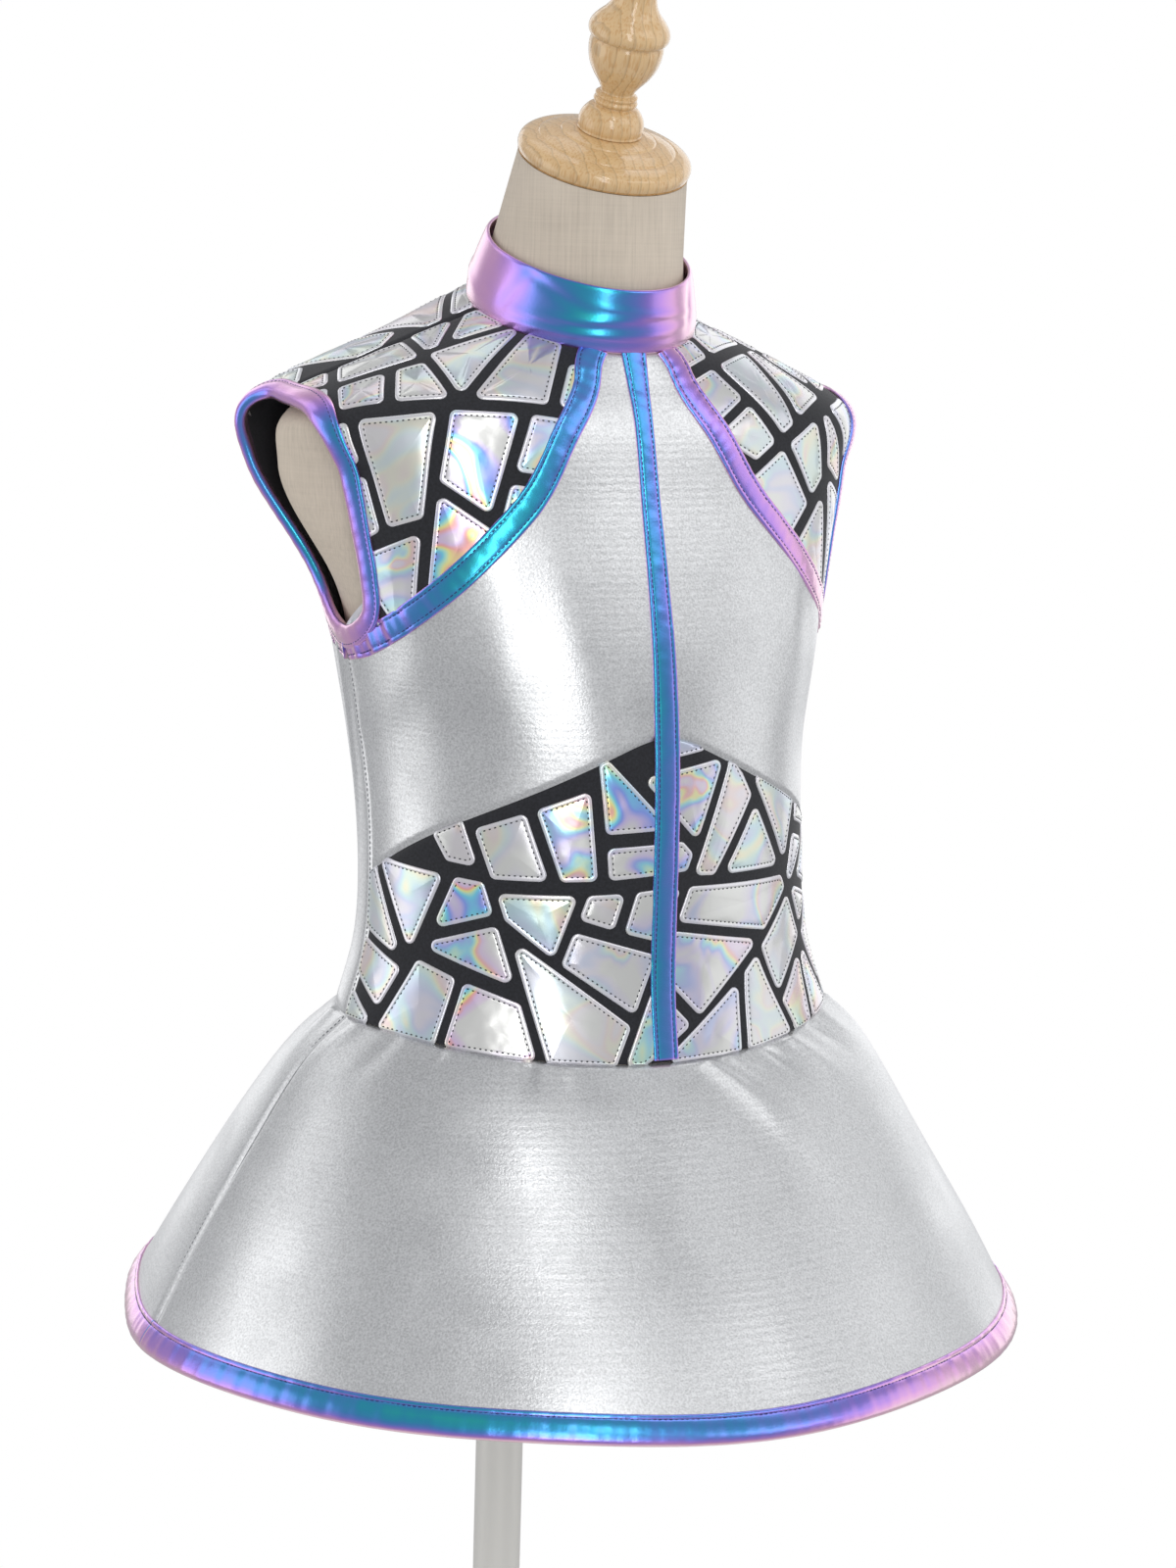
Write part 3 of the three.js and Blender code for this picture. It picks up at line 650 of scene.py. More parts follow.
def turned_wood(colour):
    """Pale hardwood, turned and lacquered: fine upright grain under a clear glossy coat."""
    material, tree, shader = new_finish("lacquered ash", colour, Roughness=0.42, Coat_Weight=0.8,
                                        Coat_Roughness=0.06)
    place = add_node(tree, "ShaderNodeTexCoord")
    upright = add_node(tree, "ShaderNodeMapping", {"Rotation": (-CAP_TILT, 0.0, 0.0)},
                       {"Vector": (place, "Object")})
    # Rings 5 mm apart, and pores 0.7 mm wide and 20 mm long
    stretched = add_node(tree, "ShaderNodeMapping", {"Scale": (1.0, 1.0, 0.07)},
                         {"Vector": (upright, "Vector")})
    rings = add_node(tree, "ShaderNodeTexWave", {"Scale": 62.0, "Distortion": 5.0, "Detail": 3.0,
                                                 "Detail Scale": 1.2}, {"Vector": (stretched, "Vector")},
                     bands_direction="X", wave_profile="SAW")
    pores = add_node(tree, "ShaderNodeTexNoise", {"Scale": 1100.0, "Detail": 2.0},
                     {"Vector": (stretched, "Vector")})
    ring_colour = add_node(tree, "ShaderNodeValToRGB", links={"Fac": (rings, "Fac")}, stops=[
        (0.0, tinted(colour, 1.07)), (0.8, colour), (0.94, tinted(colour, 0.8)), (1.0, tinted(colour, 0.95)),
    ])
    pore_colour = add_node(tree, "ShaderNodeValToRGB", links={"Fac": (pores, "Fac")},
                           stops=[(0.36, "#ead5b6"), (0.5, "#ffffff")])
    both = add_node(tree, "ShaderNodeMix", {0: 0.7}, {6: (ring_colour, "Color"), 7: (pore_colour, "Color")},
                    data_type="RGBA", blend_type="MULTIPLY")
    tree.links.new(both.outputs[2], shader.inputs["Base Color"])
    bump = add_node(tree, "ShaderNodeBump", {"Strength": 0.08, "Distance": 0.0002},
                    {"Height": (pores, "Fac")})
    tree.links.new(bump.outputs["Normal"], shader.inputs["Normal"])
    return material


def brushed_steel(colour):
    """Stainless steel, brushed along its length: fine lines that draw its gloss out."""
    material, tree, shader = new_finish("brushed stainless steel", colour, Metallic=0.7, Roughness=0.33)
    place = add_node(tree, "ShaderNodeTexCoord")
    # Brush lines 0.5 mm apart and 60 mm long
    long = add_node(tree, "ShaderNodeMapping", {"Scale": (2000.0, 2000.0, 16.0)},
                    {"Vector": (place, "Object")})
    lines = add_node(tree, "ShaderNodeTexNoise", {"Scale": 1.0, "Detail": 2.0}, {"Vector": (long, "Vector")})
    gloss = add_node(tree, "ShaderNodeMapRange", {"To Min": 0.24, "To Max": 0.42}, {"Value": (lines, "Fac")})
    tree.links.new(gloss.outputs["Result"], shader.inputs["Roughness"])
    bump = add_node(tree, "ShaderNodeBump", {"Strength": 0.12, "Distance": 0.0001},
                    {"Height": (lines, "Fac")})
    tree.links.new(bump.outputs["Normal"], shader.inputs["Normal"])
    return material


# Each finish's maker, the setting that holds its colour, and its slot
FINISHES = {
    "silver": (silver_lame, "silver", "silver_lame"),
    "black": (black_cloth, "black", "mosaic_cloth"),
    "vinyl": (holographic_vinyl, "vinyl", "mosaic_cloth"),
    "foil": (iridescent_foil, "foil", "foil_trim"),
    "trim thread": (partial(thread, "navy polyester thread"), "trim_thread", "foil_trim"),
    "shard thread": (partial(thread, "charcoal polyester thread"), "shard_thread", "mosaic_cloth"),
    "seam thread": (partial(thread, "silver-grey polyester thread"), "seam_thread", "silver_lame"),
    "linen": (linen, "linen", "form_linen"),
    "wood": (turned_wood, "wood", "turned_wood"),
    "steel": (brushed_steel, "steel", "stand_steel"),
}
made = {}


def dress(piece, finish, *nodes):
    """Gives a piece its finish, its body and the nodes that it stands for."""
    maker, colour, slot = FINISHES[finish]
    if finish not in made:
        made[finish] = maker(tuple(getattr(bpy.context.scene.costume_colours, colour)))
    piece.data.materials.append(made[finish])
    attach(piece, "root")
    if nodes:
        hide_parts(*nodes)
    return piece


# The direction in which the foil's painted reflection colour is teal, nearly the camera's back direction.
# That painted hue goes by the surface's angle to it, and it also sets where the shards are painted more
# colourful
PAINTED_SHEEN_AXIS = np.array([-0.439, -0.884, 0.162])


def paint_sheen_hue(piece, swing=0.0, tilt=0.0, shift=0.0, reach=87):
    """The foil's painted reflection colour as a hue from 0 to 1: the angle between the normal and the fixed
    direction in which it is teal, as a share of the reach. Swing turns that direction round the wearer and
    tilt turns it up, in degrees."""
    turn, angle = math.radians(swing), math.radians(tilt)
    x, y, z = PAINTED_SHEEN_AXIS
    x, y = x * math.cos(turn) - y * math.sin(turn), x * math.sin(turn) + y * math.cos(turn)
    forward = np.array([x * math.cos(angle), y * math.cos(angle), z + math.sin(angle)])
    forward = forward / np.linalg.norm(forward)
    normals = np.empty(len(piece.data.vertices) * 3, np.float32)
    piece.data.vertices.foreach_get("normal", normals)
    # The back has the same colours as the front
    facing = np.maximum(*(normals.reshape(-1, 3) @ (forward * side) for side in ([1, 1, 1], [-1, -1, 1])))
    angles = np.degrees(np.arccos(np.clip(facing, 0, 1)))
    hue = piece.data.attributes.new("hue", "FLOAT", "POINT")
    hue.data.foreach_set("value", np.clip(angles / reach + shift, 0, 1).astype(np.float32))


# ----------------------------------------------------------------------------------------------
# Stitches

# A stitch's corners as shares of its half length, its half width and its height, and its faces: a six-sided
# plan with two points on top and one below
BEAD = np.array([
    [-1, 0, 0], [-0.6, -1, 0], [0.6, -1, 0], [1, 0, 0], [0.6, 1, 0], [-0.6, 1, 0], [-0.5, 0, 1], [0.5, 0, 1],
    [0, 0, -1],
])
BEAD_FACES = np.array([
    [0, 1, 6, 6], [1, 2, 7, 6], [2, 3, 7, 7], [3, 4, 7, 7], [4, 5, 6, 7], [5, 0, 6, 6],
    [8, 1, 0, 0], [8, 2, 1, 1], [8, 3, 2, 2], [8, 4, 3, 3], [8, 5, 4, 4], [8, 0, 5, 5],
])


def stitches_at(points, along, normal, length, width, height):
    """A small bead at each point, drawn out along the seam."""
    side = np.cross(normal, along)
    axes = np.stack([along * length / 2, side * width / 2, normal * height], 1)
    corners = points[:, None] + np.einsum("bk,nkc->nbc", BEAD, axes)
    faces = (BEAD_FACES[None] + len(BEAD) * np.arange(len(points))[:, None, None]).reshape(-1, 4)
    return corners.reshape(-1, 3), faces


def spaced(points, pitch):
    """Indices with fractions along a polyline at an even pitch."""
    run = np.concatenate([[0], np.cumsum(np.linalg.norm(np.diff(points, axis=0), axis=1))])
    count = max(int(run[-1] / pitch), 2)
    at = (np.arange(count) + 0.5) * run[-1] / count
    return np.interp(at, run, np.arange(len(points)))


def stitch_row(points, normals, pitch, length, width, height):
    """Stitches at an even pitch along a dense polyline."""
    at = spaced(points, pitch)
    i = np.minimum(at.astype(int), len(points) - 2)
    f = (at - i)[:, None]
    along = unit(points[i + 1] - points[i])
    normal = unit(lerp(normals[i], normals[i + 1], f))
    return stitches_at(lerp(points[i], points[i + 1], f), along, normal, length, width, height)


def joined(parts):
    """Several sets of points and faces as one."""
    starts = np.cumsum([0] + [len(points) for points, faces in parts[:-1]])
    return (np.concatenate([points for points, faces in parts]),
            np.concatenate([faces + start for (points, faces), start in zip(parts, starts)]))


# ----------------------------------------------------------------------------------------------
# Silver panels

# Folds of the chest and the back: most fan out from under the arms
SIDE_FOLDS = columns(FOLD, [
    [-100, 4.1, 78, 55, 5, 1.3],
    [-109, 3.9, 84, 60, 5, 1.1],
    [-120, 4.2, 88, 50, 6, 0.9],
    [-84, 4.3, 40, 22, 6, 0.6],
    [-72, 4.4, 30, 25, 8, 0.6],
    [100, 4.0, 100, 55, 5, 1.2],
    [111, 4.1, 94, 50, 6, 1.0],
    [84, 4.3, 140, 22, 6, 0.6],
    [60, 4.8, 120, 40, 9, 0.7],
    [40, 5.6, 105, 50, 10, 0.5],
    [-36, 5.6, 80, 60, 12, 0.5],
    [-18, 4.9, 95, 60, 10, 0.5],
    [150, 1.0, 80, 40, 9, 0.8],
    [-152, 1.2, 100, 40, 9, 0.8],
    [165, 0.8, 90, 30, 8, 0.7],
])


def seam_dip(points, sizes):
    """How far the cloth dips at its seams: a bell curve of the distance from its edges."""
    return sizes.seam_dip / MM * np.exp(-((run_from_edges(points) / (sizes.seam_width / MM)) ** 2))


def cloth_panel(name, region, rows, across, sizes, hand=1, relief=None):
    """A panel of the bodice: its region's points lifted by the cloth's thickness and the folds' height, less
    the dip at its seams."""
    b, a = np.meshgrid(np.linspace(0, 1, rows), np.linspace(0, 1, across), indexing="ij")
    turn, level = region(a, b)
    turn = turn * hand
    dip = seam_dip(body(turn, level), sizes)
    rise = sizes.fold_height * folds(turn, level, relief) if relief else 0
    outer = lifted(body, turn, level, sizes.thickness / MM - dip + rise)
    inner = lifted(body, turn, level, -dip * 0.5)
    return put_mesh(name, *wall(outer, inner))


def side_seam(surface, top, lift, hand, sizes):
    """Stitches beside a side seam from level 0 to the top, one degree behind it."""
    level = np.linspace(0.02, top, 160)
    turn = np.full(len(level), 90.9 * hand)
    line = lifted(surface, turn, level, lift(turn, level))
    return stitch_row(line, outward(surface, turn, level), sizes.stitch_pitch / MM, 1.6, 0.45, 0.2)


# ----------------------------------------------------------------------------------------------
# Shards of holographic vinyl

# A shard's cross-section from its rim in: distance from the rim, height above the black cloth
RIM = columns("inset lift", [
    [0, -0.5], [0.05, 0.1], [0.3, 0.42], [0.8, 0.55], [1.5, 0.52], [1.95, 0.44], [2.2, 0.34], [2.5, 0.44],
    [3, 0.5],
])
# The rows of that section that the stitches lie in, that end the rim's painted highlight, and that the dents
# start at
RIM_STITCHES = 6
RIM_PAINTED_HIGHLIGHT = 5
RIM_DENTS = 7
# Rings of a shard's underside, as shares of the way to its middle, and their height above the form. The
# underside follows the form too, so that it stays inside the cloth
UNDERSIDE = (0.9, 0.6, 0.3, 0.0)
UNDERSIDE_LIFT = 0.35
# Rings of a shard's top inside its rim, as shares of the way to its middle, and how high it domes
TOP_RINGS = (0.3, 0.6, 0.85)
DOME = 0.15
# The height of a shard's own unevenness
DENT_HEIGHT = 0.22
# Least area in square millimetres of a cell, and of a shard's flat middle
LEAST_CELL = 110
LEAST_CORE = 25
# The gap on each side of a cut, how far a cut leans in radians, how far it lies off the middle as a share of
# the way to a corner, and the gap at the sheet's own edges
CUT_GAPS = (1.7, 2.9)
CUT_LEAN = 0.26
CUT_LEAN_MOST = 0.5
CUT_OFF_MIDDLE = 0.14
EDGE_GAP = 2.4
# How far past each side of its panel a shard may run: under a seam, or short of an armhole's binding. A
# yoke's sides are raglan seam, armhole, shoulder seam and neck
MIDRIFF_COVERS = (1.5, 1.5, 1.5, 1.5)
YOKE_COVERS = (0.0, -2.0, -1.8, -1.0)


def keep_side(cell, point, normal, width):
    """The part of a convex cell behind a line. Its new edge is drawn in by the width given."""
    corners, widths = cell
    if not len(corners):
        return cell
    distance = (corners - point) @ normal
    kept, kept_widths = [], []
    for k in range(len(corners)):
        here, there = distance[k], distance[(k + 1) % len(corners)]
        if here <= 0:
            kept.append(corners[k])
            kept_widths.append(widths[k])
        if (here <= 0) != (there <= 0):
            kept.append(lerp(corners[k], corners[(k + 1) % len(corners)], here / (here - there)))
            kept_widths.append(width if here <= 0 else widths[k])
    return np.array(kept), kept_widths


def twice_area(corners):
    """Twice a polygon's area, the sum of its corners' cross products: below 0 where they run clockwise."""
    x, y = corners[:, 0], corners[:, 1]
    return (x * np.roll(y, -1) - y * np.roll(x, -1)).sum()


def cell_area(corners):
    """A polygon's area, whichever way its corners run."""
    return 0.5 * abs(twice_area(corners))


def split_cells(cell, rng, largest):
    """Cells from straight cuts across the long way of each, until each is smaller than a random size."""
    corners, widths = cell
    if cell_area(corners) < largest * rng.uniform(0.5, 1.5):
        return [cell]
    middle = corners.mean(0)
    spread = np.linalg.eigh(np.cov((corners - middle).T))[1][:, -1]
    angle = np.clip(rng.normal(0, CUT_LEAN), -CUT_LEAN_MOST, CUT_LEAN_MOST)
    normal = np.array([spread[0] * np.cos(angle) - spread[1] * np.sin(angle),
                       spread[0] * np.sin(angle) + spread[1] * np.cos(angle)])
    point = lerp(middle, corners[rng.integers(len(corners))], rng.uniform(0, CUT_OFF_MIDDLE))
    width = rng.uniform(*CUT_GAPS)
    return (split_cells(keep_side(cell, point, normal, width), rng, largest)
            + split_cells(keep_side(cell, point, -normal, width), rng, largest))


def inside(points, outline):
    """Whether each point lies in a polygon: an odd number of its edges pass to the right of it."""
    x, y = points[:, :1], points[:, 1:2]
    x0, y0 = outline.T
    x1, y1 = np.roll(outline, -1, 0).T
    crosses = (y0 > y) != (y1 > y)
    with np.errstate(divide="ignore", invalid="ignore"):
        at = x0 + (y - y0) * (x1 - x0) / (y1 - y0)
    return (crosses & (x < at)).sum(1) % 2 == 1


def outside_by(points, outline):
    """How far each point lies outside a polygon, and 0 inside it."""
    start, step = outline, np.roll(outline, -1, 0) - outline
    size = np.maximum((step**2).sum(1), 1e-9)
    nearest = np.full(len(points), np.inf)
    for k in range(len(outline)):
        share = np.clip(((points - start[k]) @ step[k]) / size[k], 0, 1)
        nearest = np.minimum(nearest, np.linalg.norm(points - start[k] - share[:, None] * step[k], axis=1))
    return np.where(inside(points, outline), 0, nearest)


def solve(chart, target, turn, level):
    """Turn and level that a chart puts at the target: Newton's method, with steps of at most 7 degrees and
    a third of a level."""
    for _ in range(12):
        now = chart(turn, level)
        by_turn = (chart(turn + 0.02, level) - now) / 0.02
        by_level = (chart(turn, level + 0.002) - now) / 0.002
        miss = target - now
        size = by_turn[:, 0] * by_level[:, 1] - by_turn[:, 1] * by_level[:, 0]
        size = np.where(np.abs(size) < 1e-6, 1e-6, size)
        turn = turn + np.clip((miss[:, 0] * by_level[:, 1] - miss[:, 1] * by_level[:, 0]) / size, -7, 7)
        level = level + np.clip((by_turn[:, 0] * miss[:, 1] - by_turn[:, 1] * miss[:, 0]) / size, -0.33, 0.33)
        level = np.clip(level, -0.3, NECK + 0.2)
    return turn, level


def outline_shard(cell, corner):
    """A rounded outline as core points with unit vectors outwards: the cell drawn in by its edges' widths
    and the corner radius, with an arc at each corner. A slender cell gets a smaller radius."""
    corners, widths = cell
    for radius in (corner, 0.7 * corner):
        core = (corners, list(widths))
        middle = corners.mean(0)
        for k in range(len(corners)):
            edge = corners[(k + 1) % len(corners)] - corners[k]
            normal = np.array([edge[1], -edge[0]]) / max(np.linalg.norm(edge), 1e-9)
            if (corners[k] - middle) @ normal < 0:
                normal = -normal
            core = keep_side(core, corners[k] - normal * (widths[k] + radius), normal, widths[k])
        if len(core[0]) >= 3 and cell_area(core[0]) > LEAST_CORE:
            break
    else:
        return None
    core = core[0]
    if twice_area(core) < 0:
        core = core[::-1]
    keep = np.linalg.norm(core - np.roll(core, 1, 0), axis=1) > 0.05
    core = core[keep]
    edges = np.roll(core, -1, 0) - core
    angles = np.arctan2(-edges[:, 0], edges[:, 1])
    points, normals = [], []
    for k in range(len(core)):
        before, after = angles[k - 1], angles[k]
        bend = (after - before) % (2 * np.pi)
        arc = before + bend * np.linspace(0, 1, 6)
        points.append(np.repeat(core[k][None], 6, 0))
        normals.append(np.stack([np.cos(arc), np.sin(arc)], 1))
        steps = int(np.linalg.norm(edges[k]) / 4)
        if steps > 1:
            share = (np.arange(1, steps) / steps)[:, None]
            points.append(core[k] + share * edges[k])
            normals.append(np.repeat([[np.cos(after), np.sin(after)]], steps - 1, 0))
    return np.concatenate(points), np.concatenate(normals), radius


def shard_layout(outline, covers, seed, largest):
    """Convex cells over a panel's chart. Each is cut back along every side of the panel that crosses it,
    to the side's cover: how far past the seam it may run."""
    rng = np.random.default_rng(seed)
    whole = np.concatenate(outline)
    low, high = whole.min(0) - 8, whole.max(0) + 8
    sheet = (np.array([low, [high[0], low[1]], high, [low[0], high[1]]]), [EDGE_GAP] * 4)
    kept = []
    for cell in split_cells(sheet, rng, largest):
        for side, cover in zip(outline, covers):
            here = side[inside(side, cell[0])]
            if len(here) < 2:
                continue
            step = here[-1] - here[0]
            normal = np.array([step[1], -step[0]]) / max(np.linalg.norm(step), 1e-9)
            reach = ((here - here[0]) @ normal).max()
            cell = keep_side(cell, here[0] + normal * (reach + cover), normal, 0.0)
            if not len(cell[0]):
                break
        if len(cell[0]) >= 3 and cell_area(cell[0]) > LEAST_CELL and inside(cell[0].mean(0)[None], whole)[0]:
            kept.append(cell)
    return kept


def plane_chart(origin, across, up):
    """Position on a plane: dot products with its two axes."""
    def chart(turn, level):
        away = body(turn, level) - origin
        return np.stack([(away * across).sum(-1), (away * up).sum(-1)], -1)

    return chart


def midriff_chart(turn, level):
    """The bodice unrolled: 1.68 mm for each degree, and the front's height."""
    return np.stack([turn * 1.68, smooth(BODICE["front_z"], level)], -1)


def on_panel(chart, corners, sides):
    """Turn and level of a chart's points: each starts from the nearest point of the panel's sides, drawn
    towards their middle, and is then solved."""
    side_turn, side_level = (np.concatenate([side[k] for side in sides]) for k in (0, 1))
    away = np.linalg.norm(corners[:, None] - chart(side_turn, side_level)[None], axis=2)
    nearest = np.argmin(away, 1)
    return solve(chart, corners, lerp(side_turn[nearest], side_turn.mean(), 0.3),
                 lerp(side_level[nearest], side_level.mean(), 0.3))


def sew_shards(name, chart, sides, covers, seed, sizes, largest, hand=1):
    """Shards over one panel, each worked out flat on the plane that touches the panel at its middle, and
    then laid on the cloth. Returns the mesh's piece and the stitches' points and faces."""
    outline = [chart(*side) for side in sides]
    if twice_area(np.concatenate(outline)) < 0:
        outline = [side[::-1] for side in outline[::-1]]
        sides = sides[::-1]
        covers = covers[::-1]
    whole = np.concatenate(outline)
    cloth, corner = sizes.thickness / MM, sizes.shard_corner / MM
    cells = shard_layout(outline, covers, seed, largest / MM**2)
    turn, level = on_panel(chart, np.concatenate([cell[0] for cell in cells]), sides)
    solid = body(turn, level)
    rng = np.random.default_rng(seed + 1)
    starts = np.cumsum([0] + [len(cell[0]) for cell in cells])
    shards, seams = [], []
    for cell, start, end in zip(cells, starts[:-1], starts[1:]):
        mid_turn, mid_level = turn[start:end].mean(), level[start:end].mean()
        origin = body(mid_turn, mid_level)
        facing = outward(body, mid_turn, mid_level)
        across = unit(np.cross([0, 0, 1], facing))
        up = np.cross(facing, across)
        flat = np.stack([(solid[start:end] - origin) @ across, (solid[start:end] - origin) @ up], 1)
        rounded = outline_shard((flat, cell[1]), corner)
        if rounded is None:
            continue
        core, normals, radius = rounded
        middle = core.mean(0)
        insets = RIM["inset"] * radius / RIM["inset"][-1]
        rings = [lerp(core, middle, share) for share in UNDERSIDE]
        lifts = [np.full(len(core), UNDERSIDE_LIFT - cloth)] * len(rings)
        rings += [core + (radius - inset) * normals for inset in insets]
        lifts += [np.full(len(core), lift) for lift in RIM["lift"]]
        for share in TOP_RINGS:
            rings.append(lerp(core, middle, share))
            lifts.append(np.full(len(core), RIM["lift"][-1] + DOME * (1 - (1 - share) ** 2)))
        target, lift = np.stack(rings), np.stack(lifts)
        t, v = solve(plane_chart(origin, across, up), target.reshape(-1, 2), np.full(lift.size, mid_turn),
                     np.full(lift.size, mid_level))
        soft = np.clip((np.arange(len(rings)) - len(UNDERSIDE) - RIM_DENTS) / 3, 0, 1)[:, None]
        lift = lift + soft * DENT_HEIGHT * waves(target[..., 0], target[..., 1], rng, 30, 9, 5)
        past = outside_by(chart(t, v), whole).reshape(lift.shape)
        # Where a shard runs past its panel it sinks out of sight under the seam
        lift = lerp(cloth + lift, -0.6, np.clip(past / 0.8, 0, 1))
        t, v = t.reshape(lift.shape), v.reshape(lift.shape)
        points = lifted(body, t, v, lift)
        rows, around = lift.shape
        shell, faces = tube(points)
        # Some shards show more colour than others at random, and painted reflection gives most colour where
        # they face the way the foil's painted colour is teal
        vivid = np.clip(rng.uniform(-0.1, 1.25), 0.05, 1)
        vivid *= 0.3 + 0.7 * np.clip((abs(facing @ (PAINTED_SHEEN_AXIS * [hand, 1, 1])) - 0.78) / 0.16, 0, 1)
        # Painted highlight along the rim: these rows are mixed paler in the vinyl's finish
        rim = (np.arange(rows) < len(UNDERSIDE) + RIM_PAINTED_HIGHLIGHT) * 0.75
        shards.append((shell, faces, np.full(len(shell), rng.uniform(0, 1)), np.full(len(shell), vivid),
                       np.append(np.repeat(rim, around), [0, 0])))
        k = len(UNDERSIDE) + RIM_STITCHES
        loop = np.vstack([points[k], points[k][:1]])
        normals = outward(body, t[k], v[k])
        normals = np.vstack([normals, normals[:1]])
        seen = np.append(past[k], past[k][0]) < 0.3
        at = spaced(loop, sizes.shard_stitch / MM)
        j = np.minimum(at.astype(int), len(loop) - 2)
        f = (at - j)[:, None]
        shown = seen[j] & seen[j + 1]
        if shown.any():
            j, f = j[shown], f[shown]
            seams.append(stitches_at(lerp(loop[j], loop[j + 1], f) + 0.02 * normals[j],
                                     unit(loop[j + 1] - loop[j]), normals[j], 1.15, 0.85, 0.3))
    points, faces = joined([(shard[0], shard[1]) for shard in shards])
    values = {label: np.concatenate([shard[k] for shard in shards])
              for k, label in enumerate(("shard", "lively", "rim"), 2)}
    mirror = np.array([hand, 1, 1])
    piece = put_mesh(name, points * mirror, faces, values, crease=50)
    beads = joined(seams)
    return piece, (beads[0] * mirror, beads[1])


def yoke_sides(back):
    """The four sides of a left yoke: raglan seam, armhole, shoulder seam and neck."""
    t = np.linspace(0, 1, 60)
    raglan = on_line(RAGLAN, t)
    if back:
        raglan = (180 - raglan[0], raglan[1])
    armhole = on_line(ARMHOLE_BACK if back else ARMHOLE_FRONT, t[::-1])
    shoulder = on_line(SHOULDER, t[::-1])
    neck = (lerp(shoulder[0][-1], raglan[0][0], t), np.full(60, 9.99))
    return [raglan, armhole, shoulder, neck]


def midriff_sides():
    """The four sides of the midriff: waist seam, left side seam, top seam and right side seam."""
    t = np.linspace(0, 1, 90)
    turn = 180 * t - 90
    return [(turn, np.zeros(90)), (np.full(90, 90.0), t * MIDRIFF_SIDE), (-turn, midriff_top(turn)),
            (np.full(90, -90.0), (1 - t) * MIDRIFF_SIDE)]


# ----------------------------------------------------------------------------------------------
# Foil trim

# Half of a laid band's cross-section from its middle out: share of the half width, lift
BAND = columns("share lift", [
    [0, 2.2], [0.2, 2.18], [0.42, 2.1], [0.56, 1.98], [0.64, 1.8], [0.72, 1.96], [0.84, 1.98], [0.94, 1.85],
    [1.0, 1.4], [0.98, 0.8], [0.5, 0.75],
])
# The share of the half width at which that section dips for its stitches
STITCH_ROW = 0.64


def band_section(width):
    """A laid band's whole cross-section, as distances across and lifts: the half and its mirror image."""
    across = np.concatenate([BAND["share"], -BAND["share"][:0:-1]]) * width / 2
    return across, np.concatenate([BAND["lift"], BAND["lift"][:0:-1]])


def underarm_gathers(t):
    """1 towards the underarm end of a raglan band, and 0 above it."""
    return np.clip((t - 0.62) / 0.2, 0, 1)


def lay_band(name, place, stations, seed, sizes, hand=1, gathers=None):
    """A band carried along a seam line. It is puckered by short waves, and by deeper gathers where those
    are asked for. Place(t) gives turn and level."""
    rng = np.random.default_rng(seed)
    width, pitch = sizes.band_width / MM, sizes.stitch_pitch / MM
    t = np.linspace(0.004, 0.996, stations)[:, None]
    across, lift = band_section(width)
    turn, level = beside(place, t + 0 * across, across + 0 * t)
    steps = np.linalg.norm(np.diff(body(*place(t[:, 0])), axis=0), axis=1)
    run = np.concatenate([[0], np.cumsum(steps)])[:, None]
    puckers = 0.1 * waves(run, across * 0.6, rng, 14, 4, 6)
    if gathers is not None:
        puckers = puckers + gathers(t) * 0.55 * waves(run, across * 0.15, rng, 11, 6, 4)
    top = np.clip((lift - 1.2) / 0.6, 0, 1)
    level = np.clip(level, 0, NECK)
    points = lifted(body, turn * hand, level, lift + top * puckers)
    piece = put_mesh(name, *tube(points), crease=50)
    rows = []
    for side in (-1, 1):
        row_turn, row_level = beside(place, t[:, 0], side * STITCH_ROW * width / 2 + 0 * t[:, 0])
        row_turn, row_level = row_turn * hand, np.clip(row_level, 0, NECK)
        line = lifted(body, row_turn, row_level, 1.9)
        rows.append(stitch_row(line, outward(body, row_turn, row_level), pitch, 1.7, 0.5, 0.22))
    return piece, joined(rows)


# The armhole binding's cross-section: reach past the armhole's edge and lift. It is a folded strip with
# an outside and an inside leg
BINDING = columns("reach lift", [
    [-8.5, 1.2], [-8.6, 1.9], [-8.1, 2.5], [-7.2, 2.7], [-6.6, 2.5], [-6.0, 2.75], [-4.2, 3.1], [-2.2, 3.25],
    [-0.4, 3.0], [0.8, 2.3], [1.5, 1.2], [1.7, 0.2], [1.5, -0.8], [0.8, -1.6], [-0.6, -2.0], [-3, -2.1],
    [-6.3, -1.9], [-6.4, -1.2], [-3, -1.2], [-0.8, -1.0], [0.2, -0.3], [0.4, 0.4], [0, 1.2], [-1.5, 1.7],
    [-5, 1.4],
])


def armhole_loop(t):
    """Turn and level round the whole armhole for t from 0 to 1: a closed Catmull-Rom curve."""
    ring = np.concatenate([ARMHOLE_FRONT, ARMHOLE_BACK[-2:0:-1]])
    at = (np.asarray(t, float) % 1) * len(ring)
    i = at.astype(int)
    f = at - i
    a, b, c, d = (ring[(i + k) % len(ring)] for k in (-1, 0, 1, 2))
    f = f[..., None]
    point = 0.5 * (2 * b + (c - a) * f + (2 * a - 5 * b + 4 * c - d) * f**2 + (3 * b - a - 3 * c + d) * f**3)
    return point[..., 0], point[..., 1]


